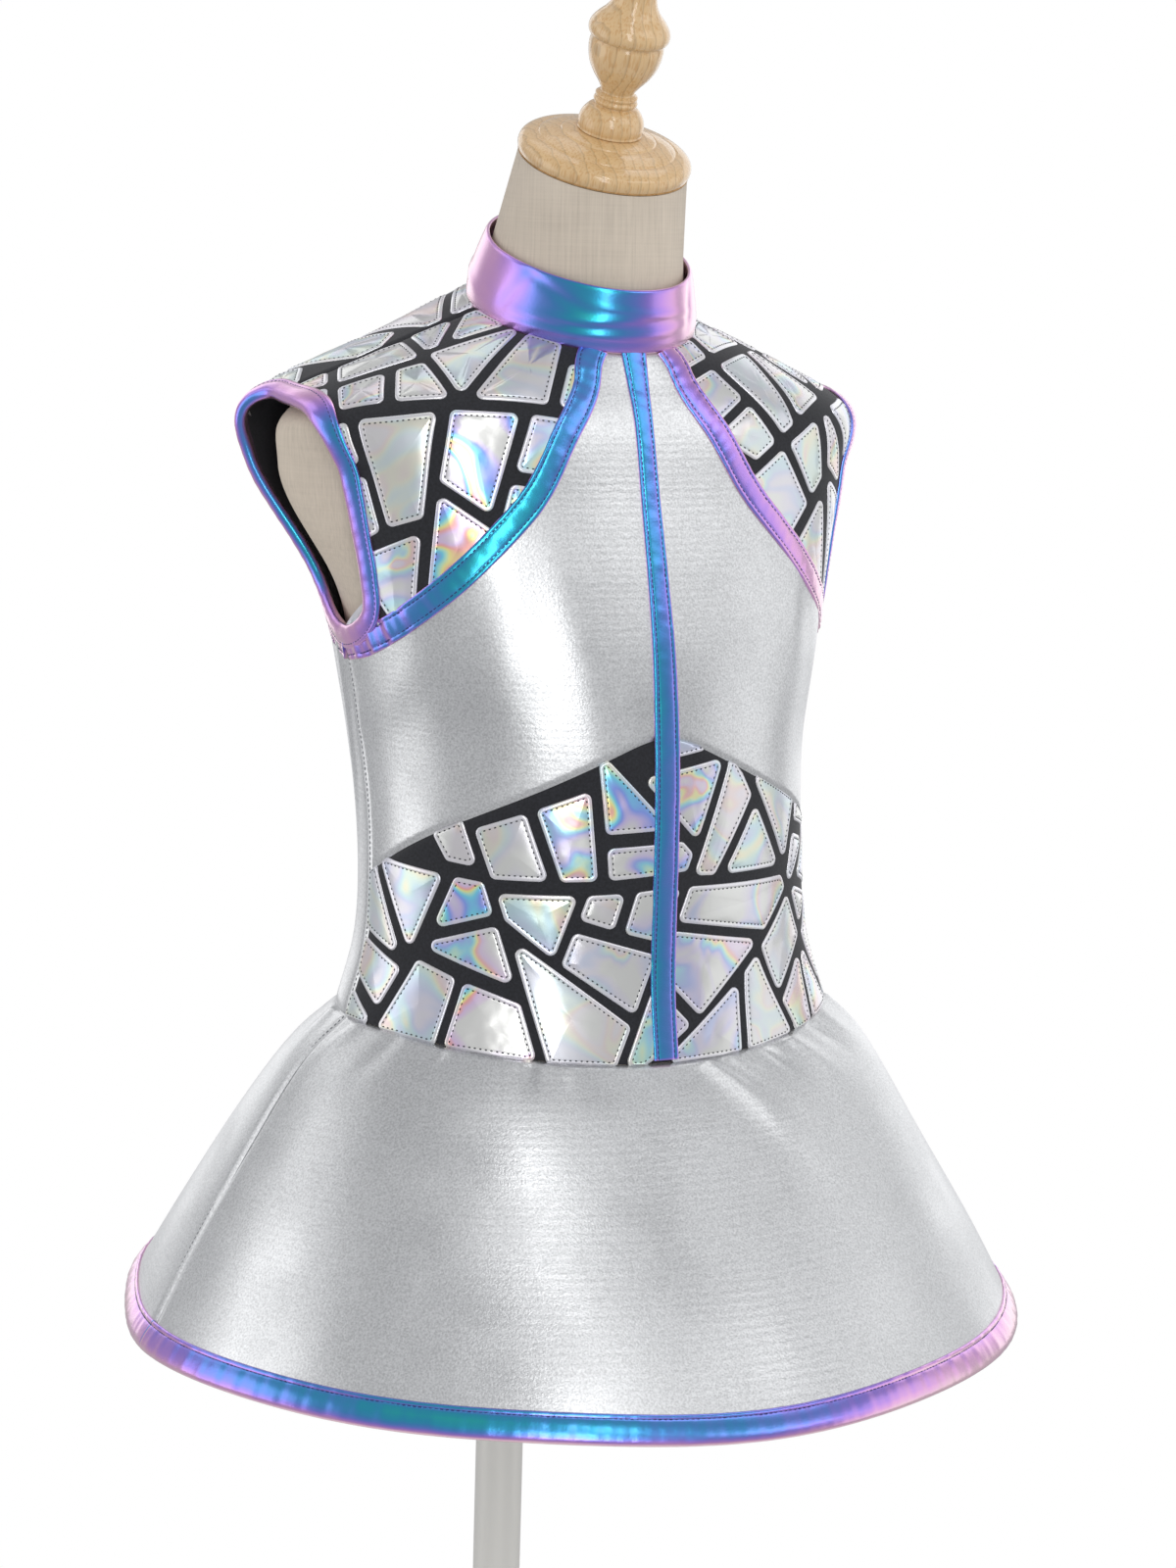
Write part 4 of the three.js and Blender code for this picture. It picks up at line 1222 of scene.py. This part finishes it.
def bind_armhole(name, hand, seed, sizes):
    """The cross-section carried round the armhole, with soft puckers. Returns the mesh's piece and the
    stitches' points and faces."""
    rng = np.random.default_rng(seed)
    stations = 260
    t = (np.arange(stations) / stations)[:, None]
    reach, lift = BINDING["reach"], BINDING["lift"]
    turn, level = beside(armhole_loop, t + 0 * reach, reach + 0 * t)
    centre = body(*armhole_loop(t[:, 0]))
    run = np.cumsum(np.linalg.norm(centre - np.roll(centre, 1, 0), axis=1))[:, None]
    puckers = 0.1 * waves(run, reach * 0.5, rng, 16, 5, 6) * np.sin(np.pi * t) ** 0.5
    points = lifted(body, turn * hand, level, lift + puckers * np.sign(lift))
    piece = put_mesh(name, *tube(points, wrap=True), crease=60)
    row = beside(armhole_loop, t[:, 0], -6.6 + 0 * t[:, 0])
    line = lifted(body, row[0] * hand, row[1], 2.55)
    normals = outward(body, row[0] * hand, row[1])
    return piece, stitch_row(line, normals, sizes.stitch_pitch / MM, 1.6, 0.5, 0.22)


# The collar's cross-section from its seam: height as a share, and lift
COLLAR_SECTION = columns("share lift", [
    [-0.06, 0.1], [-0.04, 1.5], [0.02, 2.3], [0.12, 2.9], [0.3, 3.1], [0.5, 2.9], [0.7, 2.7], [0.86, 2.5],
    [0.95, 2.3], [0.99, 1.8], [1.0, 1.1], [0.98, 0.5], [0.85, 0.2], [0.4, 0.1],
])
COLLAR_FOLDS = columns(FOLD, [
    [-30, 0.75, 8, 34, 1.6, 0.9],
    [-12, 0.42, 4, 40, 1.7, 0.8],
    [14, 1.1, -6, 26, 1.8, 0.7],
    [40, 1.2, 76, 11, 2.6, -0.7],
    [-66, 1.2, 66, 13, 3.4, -0.6],
    [-48, 1.5, -20, 18, 2.6, -0.45],
    [110, 0.9, 10, 30, 2.0, 0.7],
    [-130, 0.7, -8, 30, 2.0, 0.7],
    [160, 1.2, 6, 26, 2.0, 0.6],
])


def stand_collar(sizes):
    """The cross-section carried round the neck, with its folds."""
    fine = np.linspace(0, len(COLLAR_SECTION["share"]) - 1, 46)
    share, lift = smooth(COLLAR_SECTION["share"], fine), smooth(COLLAR_SECTION["lift"], fine)
    turn = np.linspace(-180, 180, 241)[:-1, None]
    level = share * (len(COLLAR["front_y"]) - 1)
    outer = np.clip((lift - 1.2) / 1.0, 0, 1)
    rise = sizes.fold_height * folds(turn, level, COLLAR_FOLDS, around=0.85, up=15)
    points = lifted(collar, turn, level, lift + outer * rise)
    return put_mesh("collar_band", *tube(points, wrap=True), crease=60)


# ----------------------------------------------------------------------------------------------
# Skirt

WAIST_FOLDS = columns("turn rise length width sway", [
    [-80, 1.4, 1.0, 2.2, -4],
    [-66, -1.2, 0.8, 2.0, -3],
    [-52, 1.0, 0.6, 1.8, -3],
    [-31, -1.4, 0.45, 1.4, 1],
    [-22, 0.8, 0.5, 1.8, 2],
    [-6, 0.7, 0.9, 2.2, 3],
    [9, 2.3, 1.5, 2.0, 9],
    [16, 1.2, 1.2, 2.0, 9],
    [27, -1.5, 0.6, 1.6, 6],
    [36, 1.6, 0.9, 2.2, 6],
    [48, -1.5, 0.7, 1.8, 5],
    [57, 1.5, 1.0, 2.4, 5],
    [72, 1.5, 0.9, 2.6, 3],
    [100, 1.3, 0.9, 2.6, 3],
    [118, -1.2, 0.8, 2.2, -3],
    [137, 1.5, 1.2, 2.6, 4],
    [159, -1.2, 0.7, 2.0, 3],
    [176, 1.2, 1.0, 2.4, -3],
    [-101, 1.5, 1.1, 2.4, 3],
    [-121, -1.3, 0.8, 2.2, -3],
    [-139, 1.5, 1.3, 2.6, -4],
    [-160, 1.1, 0.9, 2.4, 3],
])


def waist_folds(turn, level):
    """Folds that fan out below the waist seam: each a bell curve round its turn, that widens and sways with
    the level and fades past its length."""
    height = np.zeros(np.broadcast(turn, level).shape)
    for at, rise, length, width, sway in zip(*WAIST_FOLDS.values()):
        apart = (turn - at - sway * level + 180) % 360 - 180
        bell = np.exp(-((apart / (width * (1 + 0.8 * level))) ** 2))
        height = height + rise * bell * np.exp(-((level / length) ** 2)) * np.clip(level / 0.1, 0, 1)
    return height


def slow_waves(turn, level):
    """Waves of the skirt, 90 to 260 mm long, that grow towards the hem."""
    return 1.1 * (level / HEM) * waves(turn * 3.2, level * 50, np.random.default_rng(20), 260, 90, 6)


def skirt_lift(turn, level, sizes):
    """The height of the skirt's folds and waves."""
    return sizes.fold_height * (waist_folds(turn, level) + slow_waves(turn, level))


def skirt_half(name, middle_turn, sizes):
    """Half the skirt: flutes, folds below the waist and slow waves, less the dip at its seams."""
    level, turn = np.meshgrid(np.linspace(-0.02, HEM - 0.13, 96), middle_turn + np.linspace(-90, 90, 200),
                              indexing="ij")
    dip = seam_dip(skirt(turn, level), sizes)
    rise = skirt_lift(turn, level, sizes)
    outer = lifted(skirt, turn, level, sizes.thickness / MM - dip + rise)
    inner = lifted(skirt, turn, level, rise - dip * 0.5)
    return put_mesh(name, *wall(outer, inner))


# The hem band's cross-section: height above the hem's edge, and lift
HEM_SECTION = columns("up lift", [
    [13, 0.9], [13.1, 1.5], [12.6, 2.0], [11.9, 2.15], [11.2, 2.0], [10.9, 1.8], [10.6, 2.0], [9.6, 2.35],
    [7, 2.8], [4, 2.95], [2, 2.7], [0.6, 2.1], [-0.2, 1.3], [-0.3, 0.5], [0.3, -0.3], [1.6, -0.8], [5, -1.0],
    [9.5, -0.9], [10.4, -0.6], [10.4, 0.1],
])
# The height above the hem's edge at which that section dips for its stitches
HEM_STITCHES = 10.9


def hem_half(name, middle_turn, seed, sizes):
    """The cross-section carried along half the hem, with the skirt's slow waves and short puckers."""
    rng = np.random.default_rng(seed)
    turn = middle_turn + np.linspace(-89.93, 89.93, 420)[:, None]
    by_level = np.linalg.norm(tangents(skirt, turn, HEM - 0.1 + 0 * turn)[1], axis=-1)
    level = HEM - HEM_SECTION["up"] / by_level
    slow = sizes.fold_height * slow_waves(turn, level)
    puckers = 0.14 * waves(turn * 3.4, level * 12, rng, 22, 5, 7)
    lift = HEM_SECTION["lift"] + slow + puckers * np.clip(HEM_SECTION["lift"], 0, 1)
    points = lifted(skirt, turn + 0 * level, level, lift)
    piece = put_mesh(name, *tube(points), crease=60)
    row = HEM - HEM_STITCHES / by_level[:, 0]
    flat_turn = turn[:, 0]
    line = lifted(skirt, flat_turn, row, 1.88 + sizes.fold_height * slow_waves(flat_turn, row))
    normals = outward(skirt, flat_turn, row)
    return piece, stitch_row(line, normals, sizes.stitch_pitch / MM, 1.7, 0.5, 0.22)


# ----------------------------------------------------------------------------------------------
# Dress form

CAP = columns("radius height", [
    [0, 0.5], [34, 0.5], [36.9, 0.7], [37.9, 2.4], [38.1, 4.4], [37.2, 6.6], [34.8, 8.4], [31.5, 9.4],
    [30.2, 9.5], [29.4, 10.2], [26, 11.6], [22, 12.5], [21, 12.6], [20.2, 13.3], [17, 14.2], [14, 14.7],
    [8, 14.8], [0, 14.8],
])
FINIAL = columns("radius height", [
    [0, 14.6], [12.8, 14.6], [14, 16.2], [14.3, 19], [13.4, 22.2], [11.2, 25.2], [8.8, 26.6], [8.6, 27.2],
    [9.3, 27.8], [9.6, 28.8], [9.1, 29.6], [8.7, 30], [9.1, 30.5], [9.2, 31.4], [8.2, 32.2], [7.3, 33.2],
    [9.2, 36.6], [12.2, 40.6], [14.6, 45], [15.9, 50], [16.1, 54], [15.5, 56.4], [16.1, 56.9], [17.2, 58],
    [17.7, 60.2], [17, 62.8], [15, 65.6], [12.2, 68.6], [10, 72], [8.8, 76], [8.4, 80], [9, 83.4],
    [9.6, 86.4], [9.2, 89.6], [7.4, 92.4], [4, 94.4], [0, 95],
])


def turned(radius, height, angle):
    """Radii and heights carried round an upright axis."""
    return np.stack([radius * np.cos(angle), radius * np.sin(angle), height + 0 * angle], -1)


def circle(count):
    """Equal angles once round, without the last."""
    return np.linspace(0, 2 * np.pi, count + 1)[:-1]


def box_of(node):
    """A CAD node's lowest and highest corners in millimetres."""
    return tuple(np.array(corner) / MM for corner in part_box(node))


def pole_foot():
    """The point on the floor under the pole's middle."""
    low, high = box_of("form_pole")
    return np.append(((low + high) / 2)[:2], 0)


def turned_piece(name, profile, steps, tilted):
    """A profile turned round an axis: the Catmull-Rom curve through its radii and heights, carried round
    the neck's tilted axis or the pole's at equal angles."""
    at = np.linspace(0, len(profile["radius"]) - 1, steps)
    radius = np.maximum(smooth(profile["radius"], at), 0)
    height = smooth(profile["height"], at)
    radius[0] = radius[-1] = 0.02
    points = turned(radius[:, None], height[:, None], circle(80))
    if tilted:
        x, y, z = np.moveaxis(points, -1, 0)
        y, z = y * np.cos(CAP_TILT) - z * np.sin(CAP_TILT), y * np.sin(CAP_TILT) + z * np.cos(CAP_TILT)
        points = np.stack([x, y, z], -1)
    return put_mesh(name, *tube(points + (CAP_CENTRE if tilted else pole_foot())), crease=38)


def turned_ring(name, profile):
    """A closed profile carried round the pole."""
    points = turned(profile["radius"], profile["height"], circle(80)[:, None])
    return put_mesh(name, *tube(points + pole_foot(), wrap=True), crease=38)


def form_torso():
    """Rings up the hips, the bodice's sections drawn in, the neck, and a last ring under the cap."""
    turn = np.linspace(-180, 180, 145)[:-1]
    rings = [section_point(FORM_HIPS, turn, level + 0 * turn) for level in np.linspace(0, 2, 14)]
    rings += [lifted(form_body, turn, level + 0 * turn, -FORM_INSET) for level in np.linspace(0, 9.5, 96)]
    rings += [section_point(FORM_NECK, turn, level + 0 * turn) for level in np.linspace(0, 2, 16)]
    angle = np.radians(turn)
    rim = np.stack([np.sin(angle), -np.cos(angle) * np.cos(CAP_TILT), -np.cos(angle) * np.sin(CAP_TILT)], -1)
    top = CAP_CENTRE + rim * (CAP_RADIUS - 0.6)
    rings += [lerp(rings[-1], top, share) for share in (0.33, 0.66, 1)]
    return put_mesh("form_body", *tube(np.stack(rings)), crease=60)


# ----------------------------------------------------------------------------------------------
# The wearer's two sides, and the sizes and colours that a user may change

HANDS = {"right": -1, "left": 1}


def size(name, description, default, low, high):
    """A length that a user may change, given here in millimetres."""
    return FloatProperty(name=name, description=description, default=default * MM, min=low * MM,
                         max=high * MM, precision=4, unit="LENGTH")


def shard_area(name, description, default):
    """An area that a user may change, in square metres."""
    return FloatProperty(name=name, description=description, default=default, min=0.0006, max=0.004,
                         precision=5, unit="AREA")


def colour(name, description, default):
    """A colour that a user may change, given here as hex."""
    return FloatVectorProperty(name=name, description=description, default=linear(default), min=0, max=1,
                               size=4, subtype="COLOR")


class COSTUME_PG_sizes(bpy.types.PropertyGroup):
    """Sizes of the cloth, its shards and its trim"""

    thickness: size("Cloth thickness", "Thickness of every cloth", 1.0, 0.5, 2.0)
    seam_dip: size("Seam depth", "How deep the cloth dips at its seams", 1.1, 0.0, 1.5)
    seam_width: size("Seam width", "How far from a seam its dip fades", 1.5, 0.5, 4.0)
    fold_height: FloatProperty(name="Fold height", default=1.0, min=0.0, max=1.5, subtype="FACTOR",
                               description="Height of every fold, as a share of the usual")
    band_width: size("Band width", "Width of the centre band and the raglan bands", 12.0, 8.0, 16.0)
    stitch_pitch: size("Trim stitch pitch", "Distance between stitches on the trim", 2.3, 1.5, 5.0)
    shard_stitch: size("Shard stitch pitch", "Distance between stitches on the shards", 2.4, 1.5, 5.0)
    shard_corner: size("Shard corner", "Radius of the shards' corners", 3.0, 1.5, 5.0)
    midriff_shard: shard_area("Midriff shard area", "Area near which a midriff shard is left whole", 0.0015)
    yoke_shard: shard_area("Yoke shard area", "Area near which a yoke shard is left whole", 0.0016)
    layout: IntProperty(name="Shard layout", description="Number that picks the shards' layout", default=5,
                        min=0, max=999)


class COSTUME_PG_colours(bpy.types.PropertyGroup):
    """Colours of the cloth, its trim and the dress form"""

    silver: colour("Silver knit", "Colour of the foil-coated knit", "#d6d7d8")
    black: colour("Black knit", "Colour of the cloth under the shards", "#1d1e23")
    vinyl: colour("Shards", "Colour of the holographic vinyl between its smears", "#dadbd8")
    foil: colour("Foil tint", "Colour that tints the iridescent foil", "#ffffff")
    trim_thread: colour("Trim thread", "Colour of the stitches on the foil", "#2b2f6e")
    shard_thread: colour("Shard thread", "Colour of the stitches on the shards", "#33343a")
    seam_thread: colour("Seam thread", "Colour of the stitches at the side seams", "#85878b")
    linen: colour("Linen", "Colour of the dress form's cloth", "#cfc3b3")
    wood: colour("Wood", "Colour of the cap and finial", "#d8b685")
    steel: colour("Steel", "Colour of the pole and foot", "#eceae4")


class COSTUME_OT_form(bpy.types.Operator):
    """Build the linen torso, its wooden cap and its finial"""

    bl_idname = "costume.form"
    bl_label = "Dress Form"

    def execute(self, context):
        dress(form_torso(), "linen", "form_torso")
        dress(turned_piece("neck_cap", CAP, 90, True), "wood", "form_cap")
        dress(turned_piece("neck_finial", FINIAL, 200, True), "wood", "form_finial")
        return {"FINISHED"}


class COSTUME_OT_stand(bpy.types.Operator):
    """Build the steel pole, its foot and the socket between them"""

    bl_idname = "costume.stand"
    bl_label = "Stand"

    def execute(self, context):
        low, high = box_of("form_pole")
        radius = (high[0] - low[0]) / 2
        pole = columns("radius height", [
            [0, low[2]], [radius - 0.6, low[2]], [radius, low[2] + 0.6], [radius, high[2] - 0.6],
            [radius - 0.6, high[2]], [0, high[2]],
        ])
        dress(turned_piece("stand_pole", pole, 6, False), "steel", "form_pole")
        socket = columns("radius height", [
            [radius + 0.25, 9.3], [20, 9.3], [20.4, 11], [20, 30.5], [19.4, 32.6], [17.6, 34],
            [radius + 1, 34], [radius + 0.25, 33.4],
        ])
        dress(turned_ring("stand_socket", socket), "steel", "form_pole_socket")
        low, high = box_of("form_foot")
        rim = (high[0] - low[0]) / 2
        foot = columns("radius height", [
            [0, 0], [rim - 2, 0], [rim - 0.4, 0.5], [rim, 2], [rim, 5.5], [rim - 0.6, 7.4],
            [rim - 2.4, 8.6], [rim - 5, 9], [40, 9], [0, 9],
        ])
        dress(turned_piece("stand_foot", foot, 10, False), "steel", "form_foot")
        return {"FINISHED"}


class COSTUME_OT_silver_panels(bpy.types.Operator):
    """Build the chest front and the two back panels of silver knit"""

    bl_idname = "costume.silver_panels"
    bl_label = "Silver Panels"

    def execute(self, context):
        sizes = context.scene.costume_sizes
        chest = cloth_panel("chest", chest_region, 150, 150, sizes, relief=SIDE_FOLDS)
        dress(chest, "silver", "chest_front")
        for name, hand in HANDS.items():
            node = f"back_body_{name}"
            panel = cloth_panel(f"back_{name}", back_region, 150, 80, sizes, hand, SIDE_FOLDS)
            back = dress(panel, "silver", node)
            seam = side_seam(body, RAGLAN[-1, 1], partial(self.above_folds, sizes), hand, sizes)
            stitching = dress(put_mesh(f"side_stitches_{name}", *seam), "seam thread", node)
        return {"FINISHED"}

    @staticmethod
    def above_folds(sizes, turn, level):
        """The stitches' height: half sunk into the cloth, over its folds."""
        return 0.55 * sizes.thickness / MM + sizes.fold_height * folds(turn, level, SIDE_FOLDS)


class COSTUME_OT_mosaic_panels(bpy.types.Operator):
    """Build the midriff and the four yokes of black cloth, with their sewn-on shards"""

    bl_idname = "costume.mosaic_panels"
    bl_label = "Mosaic Panels"

    def execute(self, context):
        sizes = context.scene.costume_sizes
        midriff = cloth_panel("midriff", midriff_region, 70, 150, sizes)
        shards, seams = sew_shards("midriff_shards", midriff_chart, midriff_sides(), MIDRIFF_COVERS,
                                   sizes.layout, sizes, sizes.midriff_shard)
        self.finish_panel(midriff, "midriff_front", "midriff", shards, seams)
        for back in (False, True):
            where = "back" if back else "front"
            # The plane that a yoke lies flattest on
            facing = unit(np.array([0.45, 0.62 if back else -0.6, 0.65]))
            across = unit(np.cross([0, 0, 1], facing))
            chart = plane_chart(np.array([70, 20, 850]), across, np.cross(facing, across))
            for name, hand in HANDS.items():
                yoke = cloth_panel(f"yoke_{where}_cloth_{name}", yoke_region(back), 90, 60, sizes, hand)
                seed = sizes.layout + 6 + 2 * back + hand
                shards, seams = sew_shards(f"yoke_{where}_shards_{name}", chart, yoke_sides(back),
                                           YOKE_COVERS, seed, sizes, sizes.yoke_shard, hand)
                self.finish_panel(yoke, f"yoke_{where}_{name}", f"yoke_{where}", shards, seams)
        return {"FINISHED"}

    def finish_panel(self, cloth, node, cut, shards, seams):
        dress(cloth, "black", node)
        dress(shards, "vinyl", node)
        stitching = dress(put_mesh(f"{node}_stitches", *seams), "shard thread", node)


class COSTUME_OT_bands(bpy.types.Operator):
    """Build the centre band and the four raglan bands"""

    bl_idname = "costume.bands"
    bl_label = "Foil Bands"

    def execute(self, context):
        sizes = context.scene.costume_sizes
        band = lay_band("centre_band_foil", centre_line, 260, 3, sizes)
        self.finish_band(band, "centre_band", "centre_band", 0.0)
        for name, hand in HANDS.items():
            for back in (False, True):
                cut = "raglan_band_back" if back else "raglan_band_front"
                line = back_raglan_line if back else raglan_line
                seed = 30 + back * 2 + hand
                band = lay_band(f"{cut}_foil_{name}", line, 220, seed, sizes, hand, underarm_gathers)
                self.finish_band(band, f"{cut}_{name}", cut, 0.0 if hand < 0 else 0.16)
        return {"FINISHED"}

    def finish_band(self, band_and_seams, node, cut, shift):
        band, seams = band_and_seams
        dress(band, "foil", node)
        paint_sheen_hue(band, shift=shift)
        stitching = dress(put_mesh(f"{node}_stitches", *seams), "trim thread", node)


class COSTUME_OT_armhole_bindings(bpy.types.Operator):
    """Build the two folded bindings round the armholes"""

    bl_idname = "costume.armhole_bindings"
    bl_label = "Armhole Bindings"

    def execute(self, context):
        sizes = context.scene.costume_sizes
        for name, hand in HANDS.items():
            node = f"armhole_binding_{name}"
            binding, seams = bind_armhole(f"armhole_foil_{name}", hand, 50 + hand, sizes)
            dress(binding, "foil", node)
            paint_sheen_hue(binding, shift=0.04)
            stitching = dress(put_mesh(f"{node}_stitches", *seams), "trim thread", node)
        return {"FINISHED"}


class COSTUME_OT_collar(bpy.types.Operator):
    """Build the stand collar"""

    bl_idname = "costume.collar"
    bl_label = "Stand Collar"

    def execute(self, context):
        band = dress(stand_collar(context.scene.costume_sizes), "foil", "collar")
        paint_sheen_hue(band, reach=76)
        return {"FINISHED"}


class COSTUME_OT_skirt(bpy.types.Operator):
    """Build the two halves of the skirt and of its hem band"""

    bl_idname = "costume.skirt"
    bl_label = "Skirt"

    def execute(self, context):
        sizes = context.scene.costume_sizes
        for name, middle in {"front": 0, "back": 180}.items():
            half = dress(skirt_half(f"skirt_{name}_cloth", middle, sizes), "silver", f"skirt_{name}")
            if name == "back":
                seams = [side_seam(skirt, HEM - 0.3, partial(self.above_folds, sizes), hand, sizes)
                         for hand in HANDS.values()]
                stitches = put_mesh("skirt_side_stitches", *joined(seams))
                dress(stitches, "seam thread", "skirt_back")
            band, seams = hem_half(f"hem_{name}_foil", middle, 60 + middle, sizes)
            dress(band, "foil", f"hem_band_{name}")
            paint_sheen_hue(band, swing=-9, tilt=32, reach=66)
            stitches = dress(put_mesh(f"hem_{name}_stitches", *seams), "trim thread", f"hem_band_{name}")
        return {"FINISHED"}

    @staticmethod
    def above_folds(sizes, turn, level):
        """The stitches' height: half sunk into the cloth, over its folds."""
        return 0.55 * sizes.thickness / MM + skirt_lift(turn, level, sizes)


# The camera's place in metres, the way back from what it looks at, its level axis and its upright one
CAMERA_PLACE = (-0.7841, -1.5837, 0.9849)
CAMERA_BACK = (-0.4388, -0.8840, 0.1616)
CAMERA_LEVEL = (0.8957, -0.4446, 0.0)
CAMERA_UPRIGHT = (0.0718, 0.1447, 0.9869)
CAMERA_ROLL = math.radians(1.6)
CAMERA_LENS = 92.6
# What the lights aim at
LIT = (0, 0, 0.75)
# Each soft light's turn, height, distance, width, tall side and power, in degrees, metres and watts
SOFTBOXES = {
    "key": (-20, 1.35, 2.3, 0.46, 1.9, 14),
    "key_above": (-10, 2.25, 1.45, 0.2, 0.62, 2.4),
    "front_high": (30, 2.0, 2.0, 1.3, 0.8, 5),
    "left_strip": (-106, 0.95, 2.0, 1.2, 1.7, 7.5),
    "left_high": (-134, 2.1, 1.7, 0.9, 0.9, 2),
    "right_wall": (66, 1.0, 2.2, 1.7, 2.2, 7.5),
    "right_back": (122, 1.2, 2.2, 1.7, 2.0, 9),
    "top": (100, 2.9, 0.9, 1.2, 1.2, 4),
    "top_back": (158, 2.8, 0.8, 1.4, 1.0, 3),
    "back_left": (-175, 1.2, 2.2, 1.0, 2.0, 6),
}
# The floor's rings in metres, and its height in millimetres, just under the foot
FLOOR_RINGS = np.array([0.02, 0.3, 0.6, 0.9, 1.2])
FLOOR_HEIGHT = -0.2


def softbox(name, turn, height, distance, width, tall, power):
    """A soft light at a turn round the wearer, aimed at the dress, and not seen itself."""
    light = bpy.data.lights.new(name, "AREA")
    light.shape = "RECTANGLE"
    light.size, light.size_y, light.energy = width, tall, power
    box = bpy.data.objects.new(name, light)
    angle = math.radians(turn)
    box.location = (distance * math.sin(angle), -distance * math.cos(angle), height)
    box.rotation_euler = (Vector(LIT) - box.location).to_track_quat("-Z", "Y").to_euler()
    box.visible_camera = False
    bpy.context.scene.collection.objects.link(box)


class COSTUME_OT_stage(bpy.types.Operator):
    """Set up the camera, the lights, the white room and a pale floor"""

    bl_idname = "costume.stage"
    bl_label = "Stage"

    def execute(self, context):
        self.place_camera(context.scene)
        for name, numbers in SOFTBOXES.items():
            softbox(name, *numbers)
        context.scene.world = self.white_room()
        radius = FLOOR_RINGS[:, None] / MM
        points = turned(radius, FLOOR_HEIGHT + 0 * radius, circle(96))
        floor = put_mesh("floor", points.reshape(-1, 3), grid_faces(*points.shape[:2], wrap_across=True))
        floor.data.materials.append(self.floor_paint())
        return {"FINISHED"}

    def place_camera(self, scene):
        """The camera, rolled about its own view by turning its level and upright axes together."""
        level, upright = Vector(CAMERA_LEVEL), Vector(CAMERA_UPRIGHT)
        right = math.cos(CAMERA_ROLL) * level + math.sin(CAMERA_ROLL) * upright
        top = -math.sin(CAMERA_ROLL) * level + math.cos(CAMERA_ROLL) * upright
        data = bpy.data.cameras.new("camera")
        data.lens = CAMERA_LENS
        data.sensor_fit = "AUTO"
        data.sensor_width = 36
        camera = bpy.data.objects.new("camera", data)
        place = Matrix((right, top, Vector(CAMERA_BACK))).transposed().to_4x4()
        place.translation = Vector(CAMERA_PLACE)
        camera.matrix_world = place
        scene.collection.objects.link(camera)
        scene.camera = camera
        scene.view_settings.view_transform = "Standard"

    def white_room(self):
        """Pale walls that the cloth mirrors, with brighter white paper behind the dress."""
        world = bpy.data.worlds.new("white room")
        world.use_nodes = True
        tree = world.node_tree
        room = tree.nodes["Background"]
        room.inputs["Color"].default_value = linear("#eeeff2")
        room.inputs["Strength"].default_value = 0.58
        paper = add_node(tree, "ShaderNodeBackground", {"Color": linear("#ffffff"), "Strength": 1.0})
        path = add_node(tree, "ShaderNodeLightPath")
        shown = add_node(tree, "ShaderNodeMixShader", links={
            0: (path, "Is Camera Ray"), 1: (room, "Background"), 2: (paper, "Background"),
        })
        tree.links.new(shown.outputs["Shader"], tree.nodes["World Output"].inputs["Surface"])
        return world

    def floor_paint(self):
        """Pale matt board that fades out with distance, so that it has no edge."""
        paint = bpy.data.materials.new("pale matt board")
        paint.use_nodes = True
        tree = paint.node_tree
        shader = tree.nodes["Principled BSDF"]
        shader.inputs["Base Color"].default_value = linear("#f2f2f1")
        shader.inputs["Roughness"].default_value = 0.8
        place = add_node(tree, "ShaderNodeTexCoord")
        flat = add_node(tree, "ShaderNodeVectorMath", {1: (1.0, 1.0, 0.0)}, {0: (place, "Object")},
                        operation="MULTIPLY")
        away = add_node(tree, "ShaderNodeVectorMath", links={0: (flat, "Vector")}, operation="LENGTH")
        fade = add_node(tree, "ShaderNodeMapRange", {"From Min": 0.35, "From Max": 0.85, "To Min": 1.0,
                                                     "To Max": 0.0}, {"Value": (away, "Value")})
        tree.links.new(fade.outputs["Result"], shader.inputs["Alpha"])
        return paint


STEPS = (
    COSTUME_OT_form, COSTUME_OT_stand, COSTUME_OT_silver_panels, COSTUME_OT_mosaic_panels, COSTUME_OT_bands,
    COSTUME_OT_armhole_bindings, COSTUME_OT_collar, COSTUME_OT_skirt, COSTUME_OT_stage,
)


class COSTUME_PT_main(bpy.types.Panel):
    """Settings and steps of the costume"""

    bl_idname = "COSTUME_PT_main"
    bl_label = "Costume"
    bl_space_type = "VIEW_3D"
    bl_region_type = "UI"
    bl_category = "Costume"

    def draw(self, context):
        for group in (context.scene.costume_sizes, context.scene.costume_colours):
            box = self.layout.box()
            for name in group.__annotations__:
                box.prop(group, name)
        for step in STEPS:
            self.layout.operator(step.bl_idname)


CLASSES = (COSTUME_PG_sizes, COSTUME_PG_colours, *STEPS, COSTUME_PT_main)


def register():
    for cls in CLASSES:
        bpy.utils.register_class(cls)
    bpy.types.Scene.costume_sizes = PointerProperty(type=COSTUME_PG_sizes)
    bpy.types.Scene.costume_colours = PointerProperty(type=COSTUME_PG_colours)


def unregister():
    del bpy.types.Scene.costume_colours
    del bpy.types.Scene.costume_sizes
    for cls in reversed(CLASSES):
        bpy.utils.unregister_class(cls)


def main():
    """Builds every piece and the stage."""
    register()
    bpy.ops.costume.form()
    bpy.ops.costume.stand()
    bpy.ops.costume.silver_panels()
    bpy.ops.costume.mosaic_panels()
    bpy.ops.costume.bands()
    bpy.ops.costume.armhole_bindings()
    bpy.ops.costume.collar()
    bpy.ops.costume.skirt()
    bpy.ops.costume.stage()


if __name__ == "__main__":
    main()
